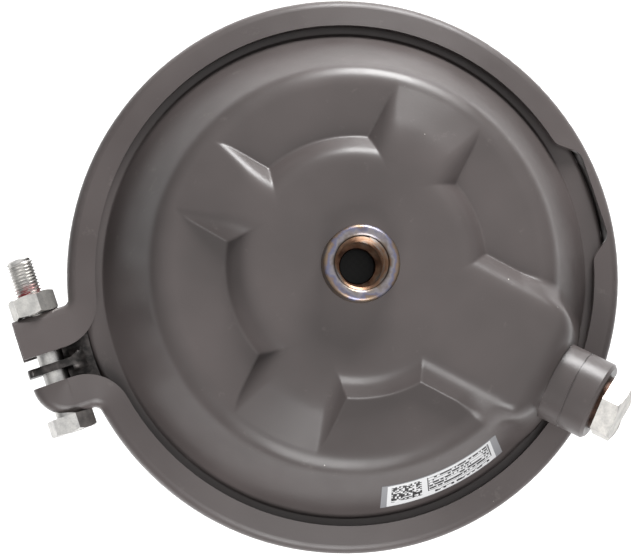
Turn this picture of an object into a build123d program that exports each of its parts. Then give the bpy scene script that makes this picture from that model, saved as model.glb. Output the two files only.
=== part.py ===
"""Air brake chamber: clamp-ring type, single diaphragm, push rod with yoke.

Millimetres. Origin at the centre of the mounting face, +Z along the chamber axis towards the air
port, +X along the line through the two mounting studs. The push rod leaves downwards, along -Z.
"""
import os
from math import atan2, cos, degrees, radians, sin, sqrt, tan

from build123d import *

os.makedirs("parts", exist_ok=True)

# ---- common edge sizes ----
EDGE_BREAK = 0.8  # small turned chamfer
THREAD_CHAMFER = 1.5  # lead-in at the end of an M16 thread
HEX_FACE = 0.98  # a hexagon's turned face, as a share of its across-flats size
HEX_CHAMFER_DEG = 30.0
SAME = 0.01  # radii closer than this are one edge

# ---- chamber body ----
MID_Z = 75.0  # mounting face to the clamp's mid-plane
RIM_T = 3.0  # diaphragm rim, pinched between the two flanges
FLANGE_R = 81.8  # both housings' flanges
FLANGE_ROLL = 1.9  # rounding along a flange's outer edge
BEND_R = 1.6  # tight bend from flange to wall
CREASE_R = 0.8  # the cap's crease above its flange

# ---- pressure housing, a deep stamping (heights are above the mid-plane) ----
CAP_SHEET = 2.6
CAP_FLANGE_W = 6.7
WALL_FOOT_R = FLANGE_R - CAP_FLANGE_W  # cone wall where it meets the flange
WALL_DEG = 61.0  # cone wall above the horizontal
FLOOR_H = 31.0  # pocket floors
CROWN_H = 37.5  # crown and its port arm
SHOULDER_R = 9.0  # rounding from roof to wall
CROWN_R = 39.5  # crown's foot circle on the pocket floors
RELIEF_DEG = 39.0  # flank of crown and arms above the horizontal
RELIEF_EDGE_R = 6.5  # rounding along crown and arm tops
ARM_AZ_SIDE = 62.3  # three plain arms: direction and foot width
ARM_W_SIDE = 30.0
ARM_AZ_BACK = 150.5
ARM_W_BACK = 25.5
ARM_AZ_LOW = 243.6
ARM_W_LOW = 29.5
ARM_AZ_PORT = 332.5  # broad arm that runs out to the side port
ARM_W_PORT = 43.6
ARM_CREST_R = 37.5  # plain arms slope down from here
ARM_END_R = 53.5  # and reach the pocket floors here
ARM_CREST_ROUND = 25.0
ARM_CORE_R = 20.0  # inside this the crown's roof is flat
COLLAR_R = 24.0  # low swell drawn up round the air port
COLLAR_H = 1.2
COLLAR_DIP = 0.06  # the swell's arc starts this much inside the sheet

# ---- side port (its axis climbs outwards) ----
PORT_AZ = 331.9
PORT_RISE = 17.0
PORT_FACE_IN = 3.8  # where the port axis leaves the bulge, inside the wall's foot
PORT_FACE_R = WALL_FOOT_R - PORT_FACE_IN
PORT_FACE_H = 19.0
BULGE_HALF_W = 15.5  # bulge behind the port: its end face, measured from the port's axis
BULGE_TOP = 17.0
BULGE_LOW = 14.0
BULGE_CORNER_R = 7.0
BULGE_DEG = 33.0  # how its sides flare inwards from the port's axis
BULGE_EDGE_R = 5.0
BULGE_ROOF_R = 12.0
BULGE_REACH = 34.0
SIDE_BOSS_R = 12.35
SIDE_BOSS_L = 15.0
SIDE_SPIGOT_R = 9.5
SIDE_BOSS_CHAMFER = 0.9
GROOVE_AT = 6.4  # turned line round the boss
GROOVE_W = 0.6
GROOVE_DEPTH = 0.35
PORT_CORE_R = 7.2  # M16 x 1.5 thread core
PORT_MOUTH_R = 8.3

# ---- air port on the axis ----
AIR_TOP_H = 45.0
AIR_RING_R = 11.55
AIR_RIM_ROUND = 1.3
AIR_RING_L = 13.5
AIR_THREAD_L = 12.0
AIR_STEP_R = 5.2

# ---- plug and seal ----
PLUG_AF = 17.0
PLUG_HEAD_H = 6.7
PLUG_SHANK_L = 10.0
PLUG_SEAL_R = 8.6
PLUG_SEAL_T = 1.4

# ---- label, wrapped on the cone wall ----
LABEL_AZ = 277.6
LABEL_SPAN = 33.4
LABEL_TOP_H = 19.9
LABEL_LOW_H = 8.6
LABEL_T = 0.15

# ---- clamp ring ----
CLAMP_SHEET = 2.5
CLAMP_SEAT = 1.7  # web's inner face outside the flanges
CLAMP_R = FLANGE_R + CLAMP_SEAT + CLAMP_SHEET
CLAMP_DEPTH = 8.4  # web face to lip, round the ring
VEE_OVER = 1.1  # flank line at the web face, outside the flanges' faces
VEE_DEG = 15.0
VEE_OUTER_R = 3.4
VEE_INNER_R = 1.0
GAP_AZ = 198.4
EAR_BEND_R = 2.3  # outside of the bend from ring to ear
EAR_TIP_OUT = 8.0  # ears' ends beyond the bolt's axis
NUT_EAR = -18.1  # nut ear: web face and gap edge, across the gap's centre line
NUT_EAR_EDGE = -5.8
HEAD_EAR = 14.3  # head ear: web face and gap edge
HEAD_EAR_EDGE = 3.6
EAR_EDGE_R = 14.0  # free edge, from ring lip to gap edge
EAR_HOLE_FIT = 0.3
EAR_SPARE = 2.0  # bend's flanks before their free edges are trimmed
NOTCH_AZ = 18.0  # flank relief opposite the gap, where the ring flexes open
NOTCH_LIP_HALF = 14.0
NOTCH_WEB_HALF = 9.5
NOTCH_ROUND = 4.0

# ---- clamp bolt, M8 ----
BOLT_OUT = 8.4  # bolt's axis outside the ring
BOLT_R = 4.0
BOLT_TIP = -36.0
M8_AF = 13.0
M8_HEAD_H = 5.3
M8_NUT_H = 6.5
M8_TURN = -13.0  # how both hexagons happened to stop
INSERT_MID = -1.2  # spacer plate in the gap
INSERT_T = 2.4
INSERT_HALF_H = 6.0
INSERT_ROUND = 1.5
BLOCK_FIT = 2.6  # plate's thick root, outside the flanges
BLOCK_L = 4.4
BLOCK_T = 6.4
FOOT_FIT = 0.7  # low wide foot that bridges the gap's mouth, outside the flanges
FOOT_OUT = 8.0
FOOT_MID = -1.9
FOOT_W = 18.6
FOOT_HALF_H = 3.8

# ---- non-pressure housing ----
CUP_SHEET = 2.6
CUP_FLANGE_W = 6.4
CUP_DRAFT = 0.8  # the wall is this much narrower at the bottom
CUP_CORNER_R = 6.0
CUP_HOLE_R = 20.0
RECESS_R = 27.0  # stamped recess that takes the dust seal's lip
RECESS_DEPTH = 2.4
RECESS_DEG = 45.0  # slope of the recess's edge
VENT_R = 5.0
VENT_AT_R = 52.0
VENT_COUNT = 4
VENT_START = 45.0

# ---- mounting studs, M16 ----
STUD_PCD = 120.65
STUD_R = 8.0
STUD_OUT = 36.0
STUD_HEAD_R = 10.0
STUD_HEAD_H = 5.0
STUD_PLATE_T = 4.0
STUD_PLATE_FIT = 0.6  # plate's edge inside the cup's corner rounding
STUD_PLATE_HOLE_FIT = 2.5  # plate's hole outside the recess
STUD_NECK_R = 8.6  # plain neck through cup and plate
STUD_HOLE_FIT = 0.2

# ---- diaphragm ----
SKIN_T = 3.2
SKIN_GAP = 0.5  # to the cone wall and roof at rest
SKIN_RIM_IN = 0.6  # diaphragm's rim inside the flanges' edge

# ---- push plate and rod ----
PLATE_R = 50.0
PLATE_T = 4.0
PLATE_EDGE_R = 3.5
PLATE_SKIRT = 7.0
PLATE_GAP = 0.3
ROD_R = 8.0
ROD_SPIGOT_R = 6.0
ROD_END_UP = 1.0  # rod's end above the yoke's crotch
RIVET_R = 9.5
RIVET_H = 1.4

# ---- return spring ----
WIRE_R = 2.2
SPRING_LOW_R = 44.0
SPRING_TOP_R = 27.0
SPRING_COILS = 5.0
SPRING_GAP = 0.3

# ---- yoke ----
PIN_Z = -125.0
PIN_R = 7.0
PIN_CLEARANCE = 0.05
YOKE_HALF_T = 17.0  # across both ears
YOKE_SLOT_HALF = 8.0
YOKE_EAR_R = 14.0
YOKE_CROTCH_UP = 26.0
YOKE_BLOCK_UP = 36.0
YOKE_NECK_R = 13.0
YOKE_CHAMFER = 3.0
YOKE_TOP_UP = 53.0
M16_AF = 24.0
LOCK_NUT_H = 8.0
PIN_HEAD_R = 10.5
PIN_HEAD_H = 4.0
PIN_SIDE_GAP = 0.3
PIN_TAIL = 9.0  # beyond the yoke's far face
PIN_CHAMFER = 1.0
WASHER_R = 13.0
WASHER_T = 2.5
COTTER_R = 1.6
COTTER_FIT = 0.15
COTTER_AT = 5.4  # beyond the yoke's far face
COTTER_EYE_R = 2.6
COTTER_LEG_R = 0.75  # each half of the folded wire
COTTER_LEG_IN = 0.05  # leg inside the shank's side
COTTER_LEG_LAP = 1.0  # leg's start above the shank's end
COTTER_BEND_R = 2.6
COTTER_BEND_DEG = 75.0

# ---- dust seal ----
SEAL_LIP_R = 14.6
SEAL_OUT_R = 25.0
SEAL_IN_R = 22.5
SEAL_OUT_T = 2.2
SEAL_IN_T = 2.4

HALF_RIM = RIM_T / 2
WALL_TAN = tan(radians(WALL_DEG))
WALL_SIN = sin(radians(WALL_DEG))
PLATE_TOP_Z = MID_Z + FLOOR_H - CAP_SHEET - SKIN_GAP - SKIN_T - PLATE_GAP
BOLT_AT_R = CLAMP_R + BOLT_OUT
EAR_TIP_R = BOLT_AT_R + EAR_TIP_OUT
EAR_HOLE_R = BOLT_R + EAR_HOLE_FIT
VEE_HALF = HALF_RIM + CAP_SHEET + VEE_OVER
BLOCK_R = FLANGE_R + BLOCK_FIT
FOOT_IN_R = FLANGE_R + FOOT_FIT
FOOT_OUT_R = FLANGE_R + FOOT_OUT
CUP_WALL_R = FLANGE_R - CUP_FLANGE_W
SKIN_RIM_R = FLANGE_R - SKIN_RIM_IN


def radial_plane(az, centre=(0, 0, 0)):
    """Upright plane through centre: local x points along azimuth az, local y points up."""
    a = radians(az)
    return Plane(origin=centre, x_dir=(cos(a), sin(a), 0), z_dir=(sin(a), -cos(a), 0))


def port_plane(beyond, lift=0.0):
    """Plane square to the side port's axis, beyond millimetres outside the bulge's face."""
    a = radians(PORT_AZ)
    e = radians(PORT_RISE)
    out = Vector(cos(a) * cos(e), sin(a) * cos(e), sin(e))
    up = Vector(-cos(a) * sin(e), -sin(a) * sin(e), cos(e))
    face = Vector(PORT_FACE_R * cos(a), PORT_FACE_R * sin(a), MID_Z + PORT_FACE_H)
    return Plane(origin=face + out * beyond + up * lift, x_dir=(-sin(a), cos(a), 0), z_dir=out)


def near(sketch, points):
    """The sketch's corner nearest each point."""
    corners = sketch.vertices()
    return [min(corners, key=lambda v: (v.X - x) ** 2 + (v.Y - y) ** 2) for x, y in points]


def hexagon(across_flats, turn=0.0):
    """Regular hexagon sketched by its across-flats size."""
    return RegularPolygon(
        radius=across_flats / 2, side_count=6, major_radius=False, rotation=turn
    )


def chamfered_hexagon(across_flats, height, plane, both_ends, turn=0.0):
    """Hexagon prism with its corners turned down to 30 degrees at the free end or at both ends."""
    corner_r = across_flats / sqrt(3)
    with BuildPart() as cone:
        with BuildSketch(plane):
            Circle(corner_r)
        extrude(amount=height)
        ends = cone.edges().filter_by(GeomType.CIRCLE).sort_by(Axis(plane.origin, plane.z_dir))
        cut = corner_r - HEX_FACE * across_flats / 2
        chamfer(ends if both_ends else ends[-1:], cut * tan(radians(HEX_CHAMFER_DEG)), cut)
    with BuildPart() as body:
        with BuildSketch(plane):
            hexagon(across_flats, turn)
        extrude(amount=height)
        add(cone.part, mode=Mode.INTERSECT)
    return body.part


# ---- pressure housing: stamped form ----
def wall_radius(height, inset):
    """Radius of the cone wall at a height, for the face lying inset below the outer one."""
    foot = HALF_RIM + CAP_SHEET
    return WALL_FOOT_R - inset / WALL_SIN - (height - foot) / WALL_TAN


def dome(roof_h, inset):
    """Flat-roofed cone with a rounded shoulder."""
    roof = roof_h - inset
    with BuildPart() as body:
        with BuildSketch(Plane.XZ):
            with BuildLine():
                Polyline(
                    (0, MID_Z),
                    (wall_radius(0, inset), MID_Z),
                    (wall_radius(roof, inset), MID_Z + roof),
                    (0, MID_Z + roof),
                    close=True,
                )
            make_face()
        revolve(axis=Axis.Z)
        fillet(body.faces().sort_by(Axis.Z)[-1].edges(), SHOULDER_R - inset)
    return body.part


def bulge(inset):
    """Flared rounded bulge behind the side port, its roof level with the crown."""
    port_axis = Axis(port_plane(0).origin, port_plane(0).z_dir)
    narrower = inset * tan(radians(90 - BULGE_DEG) / 2)
    half_w = BULGE_HALF_W - narrower
    top = BULGE_TOP - narrower
    with BuildPart() as body:
        with BuildSketch(port_plane(-inset)) as end:
            with Locations((0, top)):
                Rectangle(
                    2 * half_w,
                    top + BULGE_LOW - narrower,
                    align=(Align.CENTER, Align.MAX),
                )
            fillet(end.vertices(), BULGE_CORNER_R - narrower)
        extrude(amount=-BULGE_REACH, taper=-BULGE_DEG)
        end_face = body.faces().sort_by(port_axis)[-1]
        fillet(end_face.edges(), BULGE_EDGE_R - inset)
        with BuildSketch(Plane.XY.offset(MID_Z + CROWN_H - inset)):
            Circle(2 * WALL_FOOT_R)
        extrude(amount=2 * WALL_FOOT_R, mode=Mode.SUBTRACT)
        roof = body.faces().sort_by(Axis.Z)[-1]
        fillet(roof.edges().sort_by(port_axis)[-1], BULGE_ROOF_R - inset)
        with BuildSketch(Plane.XY.offset(MID_Z)):
            Circle(2 * WALL_FOOT_R)
        extrude(amount=-2 * WALL_FOOT_R, mode=Mode.SUBTRACT)
    return body.part


def sloping_roof(inset):
    """Crown's flat roof that slopes down to the pocket floors along the plain arms."""
    roof = CROWN_H - inset
    slope = (CROWN_H - FLOOR_H) / (ARM_END_R - ARM_CREST_R)
    crest_r = ARM_CREST_R - inset * tan(atan2(slope, 1) / 2)
    run = WALL_FOOT_R / 2
    with BuildPart() as body:
        with BuildSketch(Plane.XZ) as profile:
            with BuildLine():
                Polyline(
                    (0, MID_Z),
                    (0, MID_Z + roof),
                    (crest_r, MID_Z + roof),
                    (crest_r + run, MID_Z + roof - slope * run),
                    (crest_r + run, MID_Z),
                    close=True,
                )
            make_face()
            fillet(near(profile, ((crest_r, MID_Z + roof),)), ARM_CREST_ROUND - inset)
        revolve(axis=Axis.Z)
    return body.part


def crown(inset):
    """Central crown with four arms: flanks drafted, tops rounded, feet crisp."""
    narrower = inset * tan(radians(RELIEF_DEG / 2))
    arms = (
        (ARM_AZ_PORT, ARM_W_PORT),
        (ARM_AZ_SIDE, ARM_W_SIDE),
        (ARM_AZ_BACK, ARM_W_BACK),
        (ARM_AZ_LOW, ARM_W_LOW),
    )
    with BuildPart() as port_roof:
        add(dome(CROWN_H, inset))
        add(bulge(inset))
        with BuildSketch(Plane.XY.offset(MID_Z)):
            with Locations(Rot(0, 0, ARM_AZ_PORT) * Pos(ARM_CORE_R, 0)):
                Rectangle(
                    2 * WALL_FOOT_R,
                    ARM_W_PORT + 2 * CAP_SHEET,
                    align=(Align.MIN, Align.CENTER),
                )
        extrude(amount=2 * CROWN_H, mode=Mode.INTERSECT)
    with BuildPart() as envelope:
        add(sloping_roof(inset))
        add(port_roof.part)
    with BuildPart() as relief:
        with BuildSketch(Plane.XY.offset(MID_Z + FLOOR_H - inset)):
            Circle(CROWN_R - narrower)
            for az, width in arms:
                with Locations(Rot(0, 0, az)):
                    Rectangle(
                        WALL_FOOT_R,
                        width - 2 * narrower,
                        align=(Align.MIN, Align.CENTER),
                    )
        extrude(amount=CROWN_H - FLOOR_H, taper=90 - RELIEF_DEG)
        fillet(relief.faces().sort_by(Axis.Z)[-1].edges(), RELIEF_EDGE_R - inset)
        add(envelope.part, mode=Mode.INTERSECT)
    return relief.part


def stamped_form(inset):
    """The whole stamped face of the cap, as a solid, inset below the outer face."""
    with BuildPart() as form:
        add(bulge(inset))
        with BuildSketch(Plane.XY.offset(MID_Z + FLOOR_H - inset)):
            Circle(2 * WALL_FOOT_R)
        extrude(amount=2 * WALL_FOOT_R, mode=Mode.SUBTRACT)
        add(dome(FLOOR_H, inset))
        add(crown(inset))
    return form.part


with BuildPart() as pressure_housing:
    with BuildSketch(Plane.XY.offset(MID_Z + HALF_RIM)):
        Circle(FLANGE_R)
    extrude(amount=CAP_SHEET)
    fillet(pressure_housing.faces().sort_by(Axis.Z)[-1].edges(), FLANGE_ROLL)
    add(stamped_form(0))
    crease = pressure_housing.edges().filter_by(GeomType.CIRCLE)
    crease = crease.filter_by(lambda e: abs(e.radius - WALL_FOOT_R) < SAME)
    fillet(crease, CREASE_R)
    with BuildSketch(Plane.XZ):
        with BuildLine():
            swell_out = (COLLAR_R, MID_Z + CROWN_H - COLLAR_DIP)
            swell_in = (AIR_RING_R, MID_Z + CROWN_H + COLLAR_H)
            TangentArc(swell_out, swell_in, tangent=(-1, 0))
            Polyline(
                swell_in,
                (0, MID_Z + CROWN_H + COLLAR_H),
                (0, MID_Z + CROWN_H - COLLAR_H),
                (COLLAR_R, MID_Z + CROWN_H - COLLAR_H),
                swell_out,
            )
        make_face()
    revolve(axis=Axis.Z)
    add(stamped_form(CAP_SHEET), mode=Mode.SUBTRACT)
    with BuildSketch(Plane.XY.offset(MID_Z + HALF_RIM)):
        Circle(2 * FLANGE_R)
    extrude(amount=-2 * FLANGE_R, mode=Mode.SUBTRACT)
    mouth_r = wall_radius(HALF_RIM, CAP_SHEET)
    mouth = pressure_housing.edges().filter_by(GeomType.CIRCLE)
    mouth = mouth.filter_by(lambda e: abs(e.radius - mouth_r) < SAME)
    fillet(mouth, BEND_R + CAP_SHEET)
    with BuildSketch(Plane.XY.offset(MID_Z + FLOOR_H)):
        Circle(AIR_RING_R)
    extrude(amount=FLOOR_H, mode=Mode.SUBTRACT)
    with BuildSketch(port_plane(SIDE_BOSS_L)):
        Circle(SIDE_SPIGOT_R)
    extrude(amount=-SIDE_BOSS_L - 3 * CAP_SHEET, mode=Mode.SUBTRACT)
pressure_housing.part.label = "pressure_housing"
export_step(pressure_housing.part, "parts/pressure_housing.step")

# ---- air port ring, brazed into the crown ----
with BuildPart() as air_port_ring:
    with BuildSketch(Plane.XY.offset(MID_Z + AIR_TOP_H)):
        Circle(AIR_RING_R)
    extrude(amount=-AIR_RING_L)
    fillet(air_port_ring.edges().group_by(Axis.Z)[-1], AIR_RIM_ROUND)
    with BuildSketch(Plane.XY.offset(MID_Z + AIR_TOP_H)):
        Circle(PORT_CORE_R)
    extrude(amount=-AIR_THREAD_L, mode=Mode.SUBTRACT)
    with BuildSketch(Plane.XY.offset(MID_Z)):
        Circle(AIR_STEP_R)
    extrude(amount=AIR_TOP_H, mode=Mode.SUBTRACT)
    chamfer(
        air_port_ring.edges().filter_by(GeomType.CIRCLE).group_by(Axis.Z)[-1],
        PORT_MOUTH_R - PORT_CORE_R,
    )
air_port_ring.part.label = "air_port_ring"
export_step(air_port_ring.part, "parts/air_port_ring.step")

# ---- side port boss ----
with BuildPart() as side_port_boss:
    with BuildSketch(port_plane(0)):
        Circle(SIDE_BOSS_R)
    extrude(amount=SIDE_BOSS_L)
    port_axis = Axis(port_plane(0).origin, port_plane(0).z_dir)
    chamfer(side_port_boss.edges().sort_by(port_axis)[-1], SIDE_BOSS_CHAMFER)
    with BuildSketch(port_plane(0)):
        Circle(SIDE_SPIGOT_R)
    extrude(amount=-CAP_SHEET)
    with BuildSketch(port_plane(GROOVE_AT)):
        Circle(2 * SIDE_BOSS_R)
        Circle(SIDE_BOSS_R - GROOVE_DEPTH, mode=Mode.SUBTRACT)
    extrude(amount=GROOVE_W, mode=Mode.SUBTRACT)
    with BuildSketch(port_plane(SIDE_BOSS_L)):
        Circle(PORT_CORE_R)
    extrude(amount=-SIDE_BOSS_L - CAP_SHEET, mode=Mode.SUBTRACT)
side_port_boss.part.label = "side_port_boss"
export_step(side_port_boss.part, "parts/side_port_boss.step")

# ---- plug seal and plug ----
with BuildPart() as plug_seal:
    with BuildSketch(port_plane(SIDE_BOSS_L)):
        Circle(PLUG_SEAL_R)
        Circle(PORT_CORE_R, mode=Mode.SUBTRACT)
    extrude(amount=PLUG_SEAL_T)
plug_seal.part.label = "plug_seal"
export_step(plug_seal.part, "parts/plug_seal.step")

with BuildPart() as side_port_plug:
    plug_plane = port_plane(SIDE_BOSS_L + PLUG_SEAL_T)
    add(chamfered_hexagon(PLUG_AF, PLUG_HEAD_H, plug_plane, False))
    with BuildSketch(plug_plane):
        Circle(PORT_CORE_R)
    extrude(amount=-PLUG_SHANK_L)
side_port_plug.part.label = "side_port_plug"
export_step(side_port_plug.part, "parts/side_port_plug.step")

# ---- label on the cone wall ----
with BuildPart() as label_plate:
    with BuildSketch(radial_plane(LABEL_AZ)):
        with BuildLine():
            Polyline(
                (wall_radius(LABEL_LOW_H, 0), MID_Z + LABEL_LOW_H),
                (wall_radius(LABEL_LOW_H, -LABEL_T), MID_Z + LABEL_LOW_H),
                (wall_radius(LABEL_TOP_H, -LABEL_T), MID_Z + LABEL_TOP_H),
                (wall_radius(LABEL_TOP_H, 0), MID_Z + LABEL_TOP_H),
                close=True,
            )
        make_face()
    revolve(axis=Axis.Z, revolution_arc=LABEL_SPAN)
label_plate.part.label = "label_plate"
export_step(label_plate.part, "parts/label_plate.step")

# ---- clamp ring: one swept V section, ears bent out at the gap ----
VEE_RISE = tan(radians(VEE_DEG))
VEE_THICK = CLAMP_SHEET / cos(radians(VEE_DEG))


def vee_section(web, toward, depth):
    """Channel section in a sketch: web face at x = web, flanks running toward, free edges at depth."""
    top = VEE_HALF + depth * VEE_RISE
    inner = VEE_HALF + CLAMP_SHEET * VEE_RISE - VEE_THICK
    lip = web + toward * depth
    back = web + toward * CLAMP_SHEET
    with BuildSketch(mode=Mode.PRIVATE) as section:
        with BuildLine():
            Polyline(
                (web, -VEE_HALF),
                (web, VEE_HALF),
                (lip, top),
                (lip, top - VEE_THICK),
                (back, inner),
                (back, -inner),
                (lip, VEE_THICK - top),
                (lip, -top),
                close=True,
            )
        make_face()
        fillet(near(section, ((web, -VEE_HALF), (web, VEE_HALF))), VEE_OUTER_R)
        fillet(near(section, ((back, -inner), (back, inner))), VEE_INNER_R)
    return section.sketch


def polar(radius, az):
    """Plan point at a radius and azimuth."""
    return radius * cos(radians(az)), radius * sin(radians(az))


def bend_centre(web):
    """Centre of an ear's bend, tangent outside the ring and to the ear's web face."""
    across = abs(web) + EAR_BEND_R
    along = sqrt((CLAMP_R + EAR_BEND_R) ** 2 - across**2)
    return along, across


def bend_az(web):
    """Azimuth of an ear's bend centre, seen from the ring's axis."""
    along, across = bend_centre(web)
    return degrees(atan2(across, along))


def ear(web, edge, round_tip):
    """Bend and straight ear on the +Y side of a gap that opens along +X, mid-plane at height 0."""
    depth = abs(web) - abs(edge)
    along, across = bend_centre(web)
    turned = bend_az(web)
    straight_end = EAR_TIP_R - depth if round_tip else EAR_TIP_R
    with BuildPart() as body:
        with BuildSketch(radial_plane(180 + turned, (along, across, 0))):
            add(vee_section(EAR_BEND_R, 1, depth + EAR_SPARE))
        revolve(axis=Axis((along, across, 0), (0, 0, 1)), revolution_arc=90 - turned)
        with BuildSketch(Plane(origin=(along, 0, 0), x_dir=(0, 1, 0), z_dir=(1, 0, 0))):
            add(vee_section(abs(web), -1, depth))
        extrude(amount=straight_end - along)
        if round_tip:
            corner = (straight_end, abs(edge), 0)
            with BuildSketch(radial_plane(0, corner)):
                add(vee_section(depth, -1, depth))
            revolve(axis=Axis(corner, (0, 0, 1)), revolution_arc=90)
        with BuildSketch(Plane.XZ):
            with Locations((BOLT_AT_R, 0)):
                Circle(EAR_HOLE_R)
        extrude(amount=-2 * abs(web), mode=Mode.SUBTRACT)
    return body.part


with BuildPart() as clamp_ring:
    lip_r = CLAMP_R - CLAMP_DEPTH
    web_r = CLAMP_R - CLAMP_SHEET
    notch_az = NOTCH_AZ - GAP_AZ
    with BuildSketch(radial_plane(bend_az(HEAD_EAR))):
        add(vee_section(CLAMP_R, -1, CLAMP_DEPTH))
    revolve(axis=Axis.Z, revolution_arc=360 - bend_az(HEAD_EAR) - bend_az(NUT_EAR))
    add(ear(HEAD_EAR, HEAD_EAR_EDGE, True))
    add(mirror(ear(NUT_EAR, NUT_EAR_EDGE, False), about=Plane.XZ))
    with BuildSketch(Plane.XY.offset(-CLAMP_R / 2)) as free_edges:
        Circle(lip_r)
        with Locations((0, (HEAD_EAR_EDGE + NUT_EAR_EDGE) / 2)):
            Rectangle(
                2 * CLAMP_R,
                HEAD_EAR_EDGE - NUT_EAR_EDGE,
                align=(Align.MIN, Align.CENTER),
            )
        with BuildLine():
            Polyline(
                (0, 0),
                polar(lip_r, notch_az - NOTCH_LIP_HALF),
                polar(web_r, notch_az - NOTCH_WEB_HALF),
                polar(web_r, notch_az + NOTCH_WEB_HALF),
                polar(lip_r, notch_az + NOTCH_LIP_HALF),
                close=True,
            )
        make_face()
        Circle(lip_r)
        mouth = ((lip_r, HEAD_EAR_EDGE), (lip_r, NUT_EAR_EDGE))
        fillet(near(free_edges, mouth), EAR_EDGE_R)
        notch = [
            polar(web_r, notch_az - NOTCH_WEB_HALF),
            polar(web_r, notch_az + NOTCH_WEB_HALF),
            polar(lip_r, notch_az - NOTCH_LIP_HALF),
            polar(lip_r, notch_az + NOTCH_LIP_HALF),
        ]
        fillet(near(free_edges, notch), NOTCH_ROUND)
    extrude(amount=CLAMP_R, mode=Mode.SUBTRACT)
clamp_ring = Pos(0, 0, MID_Z) * Rot(0, 0, GAP_AZ) * clamp_ring.part
clamp_ring.label = "clamp_ring"
export_step(clamp_ring, "parts/clamp_ring.step")

# ---- clamp bolt, nut and spacer, laid out across a gap that opens along +X ----
EAR_PLANE = Plane(origin=(BOLT_AT_R, 0, 0), x_dir=(1, 0, 0), z_dir=(0, 1, 0))


def at_gap(part):
    """Turns a part from the +X layout to the clamp's gap, at mid-plane height."""
    return Pos(0, 0, MID_Z) * Rot(0, 0, GAP_AZ) * part


with BuildPart() as clamp_bolt:
    head_plane = EAR_PLANE.offset(HEAD_EAR)
    add(chamfered_hexagon(M8_AF, M8_HEAD_H, head_plane, False, M8_TURN))
    with BuildSketch(head_plane):
        Circle(BOLT_R)
    extrude(amount=BOLT_TIP - HEAD_EAR)
    chamfer(clamp_bolt.edges().filter_by(GeomType.CIRCLE).sort_by(Axis.Y)[0], EDGE_BREAK)
clamp_bolt = at_gap(clamp_bolt.part)
clamp_bolt.label = "clamp_bolt"
export_step(clamp_bolt, "parts/clamp_bolt.step")

with BuildPart() as clamp_nut:
    nut_plane = EAR_PLANE.offset(NUT_EAR - M8_NUT_H)
    add(chamfered_hexagon(M8_AF, M8_NUT_H, nut_plane, True, M8_TURN))
    with BuildSketch(nut_plane):
        Circle(BOLT_R)
    extrude(amount=M8_NUT_H, mode=Mode.SUBTRACT)
clamp_nut = at_gap(clamp_nut.part)
clamp_nut.label = "clamp_nut"
export_step(clamp_nut, "parts/clamp_nut.step")

with BuildPart() as gap_insert:
    with BuildSketch(Plane.XY.offset(-INSERT_HALF_H)):
        with Locations((BLOCK_R, INSERT_MID)):
            Rectangle(EAR_TIP_R - BLOCK_R, INSERT_T, align=(Align.MIN, Align.CENTER))
            Rectangle(BLOCK_L, BLOCK_T, align=(Align.MIN, Align.CENTER))
    extrude(amount=2 * INSERT_HALF_H)
    fillet(gap_insert.edges().filter_by(Axis.Y).group_by(Axis.X)[-1], INSERT_ROUND)
    with BuildSketch(Plane.XY.offset(-FOOT_HALF_H)):
        Circle(FOOT_OUT_R)
        Circle(FOOT_IN_R, mode=Mode.SUBTRACT)
        with Locations((0, FOOT_MID)):
            Rectangle(
                2 * FOOT_OUT_R,
                FOOT_W,
                align=(Align.MIN, Align.CENTER),
                mode=Mode.INTERSECT,
            )
    extrude(amount=2 * FOOT_HALF_H)
    with BuildSketch(EAR_PLANE):
        Circle(EAR_HOLE_R)
    extrude(amount=FOOT_W, both=True, mode=Mode.SUBTRACT)
gap_insert = at_gap(gap_insert.part)
gap_insert.label = "gap_insert"
export_step(gap_insert, "parts/gap_insert.step")

# ---- non-pressure housing ----
STUD_X = STUD_PCD / 2
RECESS_TOP_Z = RECESS_DEPTH + CUP_SHEET
with BuildPart() as non_pressure_housing:
    inner = CUP_WALL_R - CUP_SHEET
    recess_top_r = RECESS_R + CUP_SHEET * tan(radians(RECESS_DEG) / 2)
    recess_run = RECESS_DEPTH / tan(radians(RECESS_DEG))
    flange_low = MID_Z - HALF_RIM - CUP_SHEET
    with BuildSketch(Plane.XZ) as wall:
        with BuildLine():
            Polyline(
                (0, RECESS_DEPTH),
                (RECESS_R, RECESS_DEPTH),
                (RECESS_R + recess_run, 0),
                (CUP_WALL_R - CUP_DRAFT, 0),
                (CUP_WALL_R, flange_low),
                (FLANGE_R, flange_low),
                (FLANGE_R, flange_low + CUP_SHEET),
                (inner, flange_low + CUP_SHEET),
                (inner - CUP_DRAFT, CUP_SHEET),
                (recess_top_r + recess_run, CUP_SHEET),
                (recess_top_r, RECESS_TOP_Z),
                (0, RECESS_TOP_Z),
                close=True,
            )
        make_face()
        fillet(near(wall, ((CUP_WALL_R - CUP_DRAFT, 0),)), CUP_CORNER_R)
        fillet(near(wall, ((inner - CUP_DRAFT, CUP_SHEET),)), CUP_CORNER_R - CUP_SHEET)
        fillet(near(wall, ((CUP_WALL_R, flange_low),)), BEND_R)
        fillet(near(wall, ((FLANGE_R, flange_low),)), FLANGE_ROLL)
        fillet(near(wall, ((inner, flange_low + CUP_SHEET),)), BEND_R)
    revolve(axis=Axis.Z)
    with BuildSketch():
        Circle(CUP_HOLE_R)
        with Locations((STUD_X, 0), (-STUD_X, 0)):
            Circle(STUD_NECK_R + STUD_HOLE_FIT)
        with PolarLocations(VENT_AT_R, VENT_COUNT, start_angle=VENT_START):
            Circle(VENT_R)
    extrude(amount=RECESS_TOP_Z, mode=Mode.SUBTRACT)
non_pressure_housing.part.label = "non_pressure_housing"
export_step(non_pressure_housing.part, "parts/non_pressure_housing.step")

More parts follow.
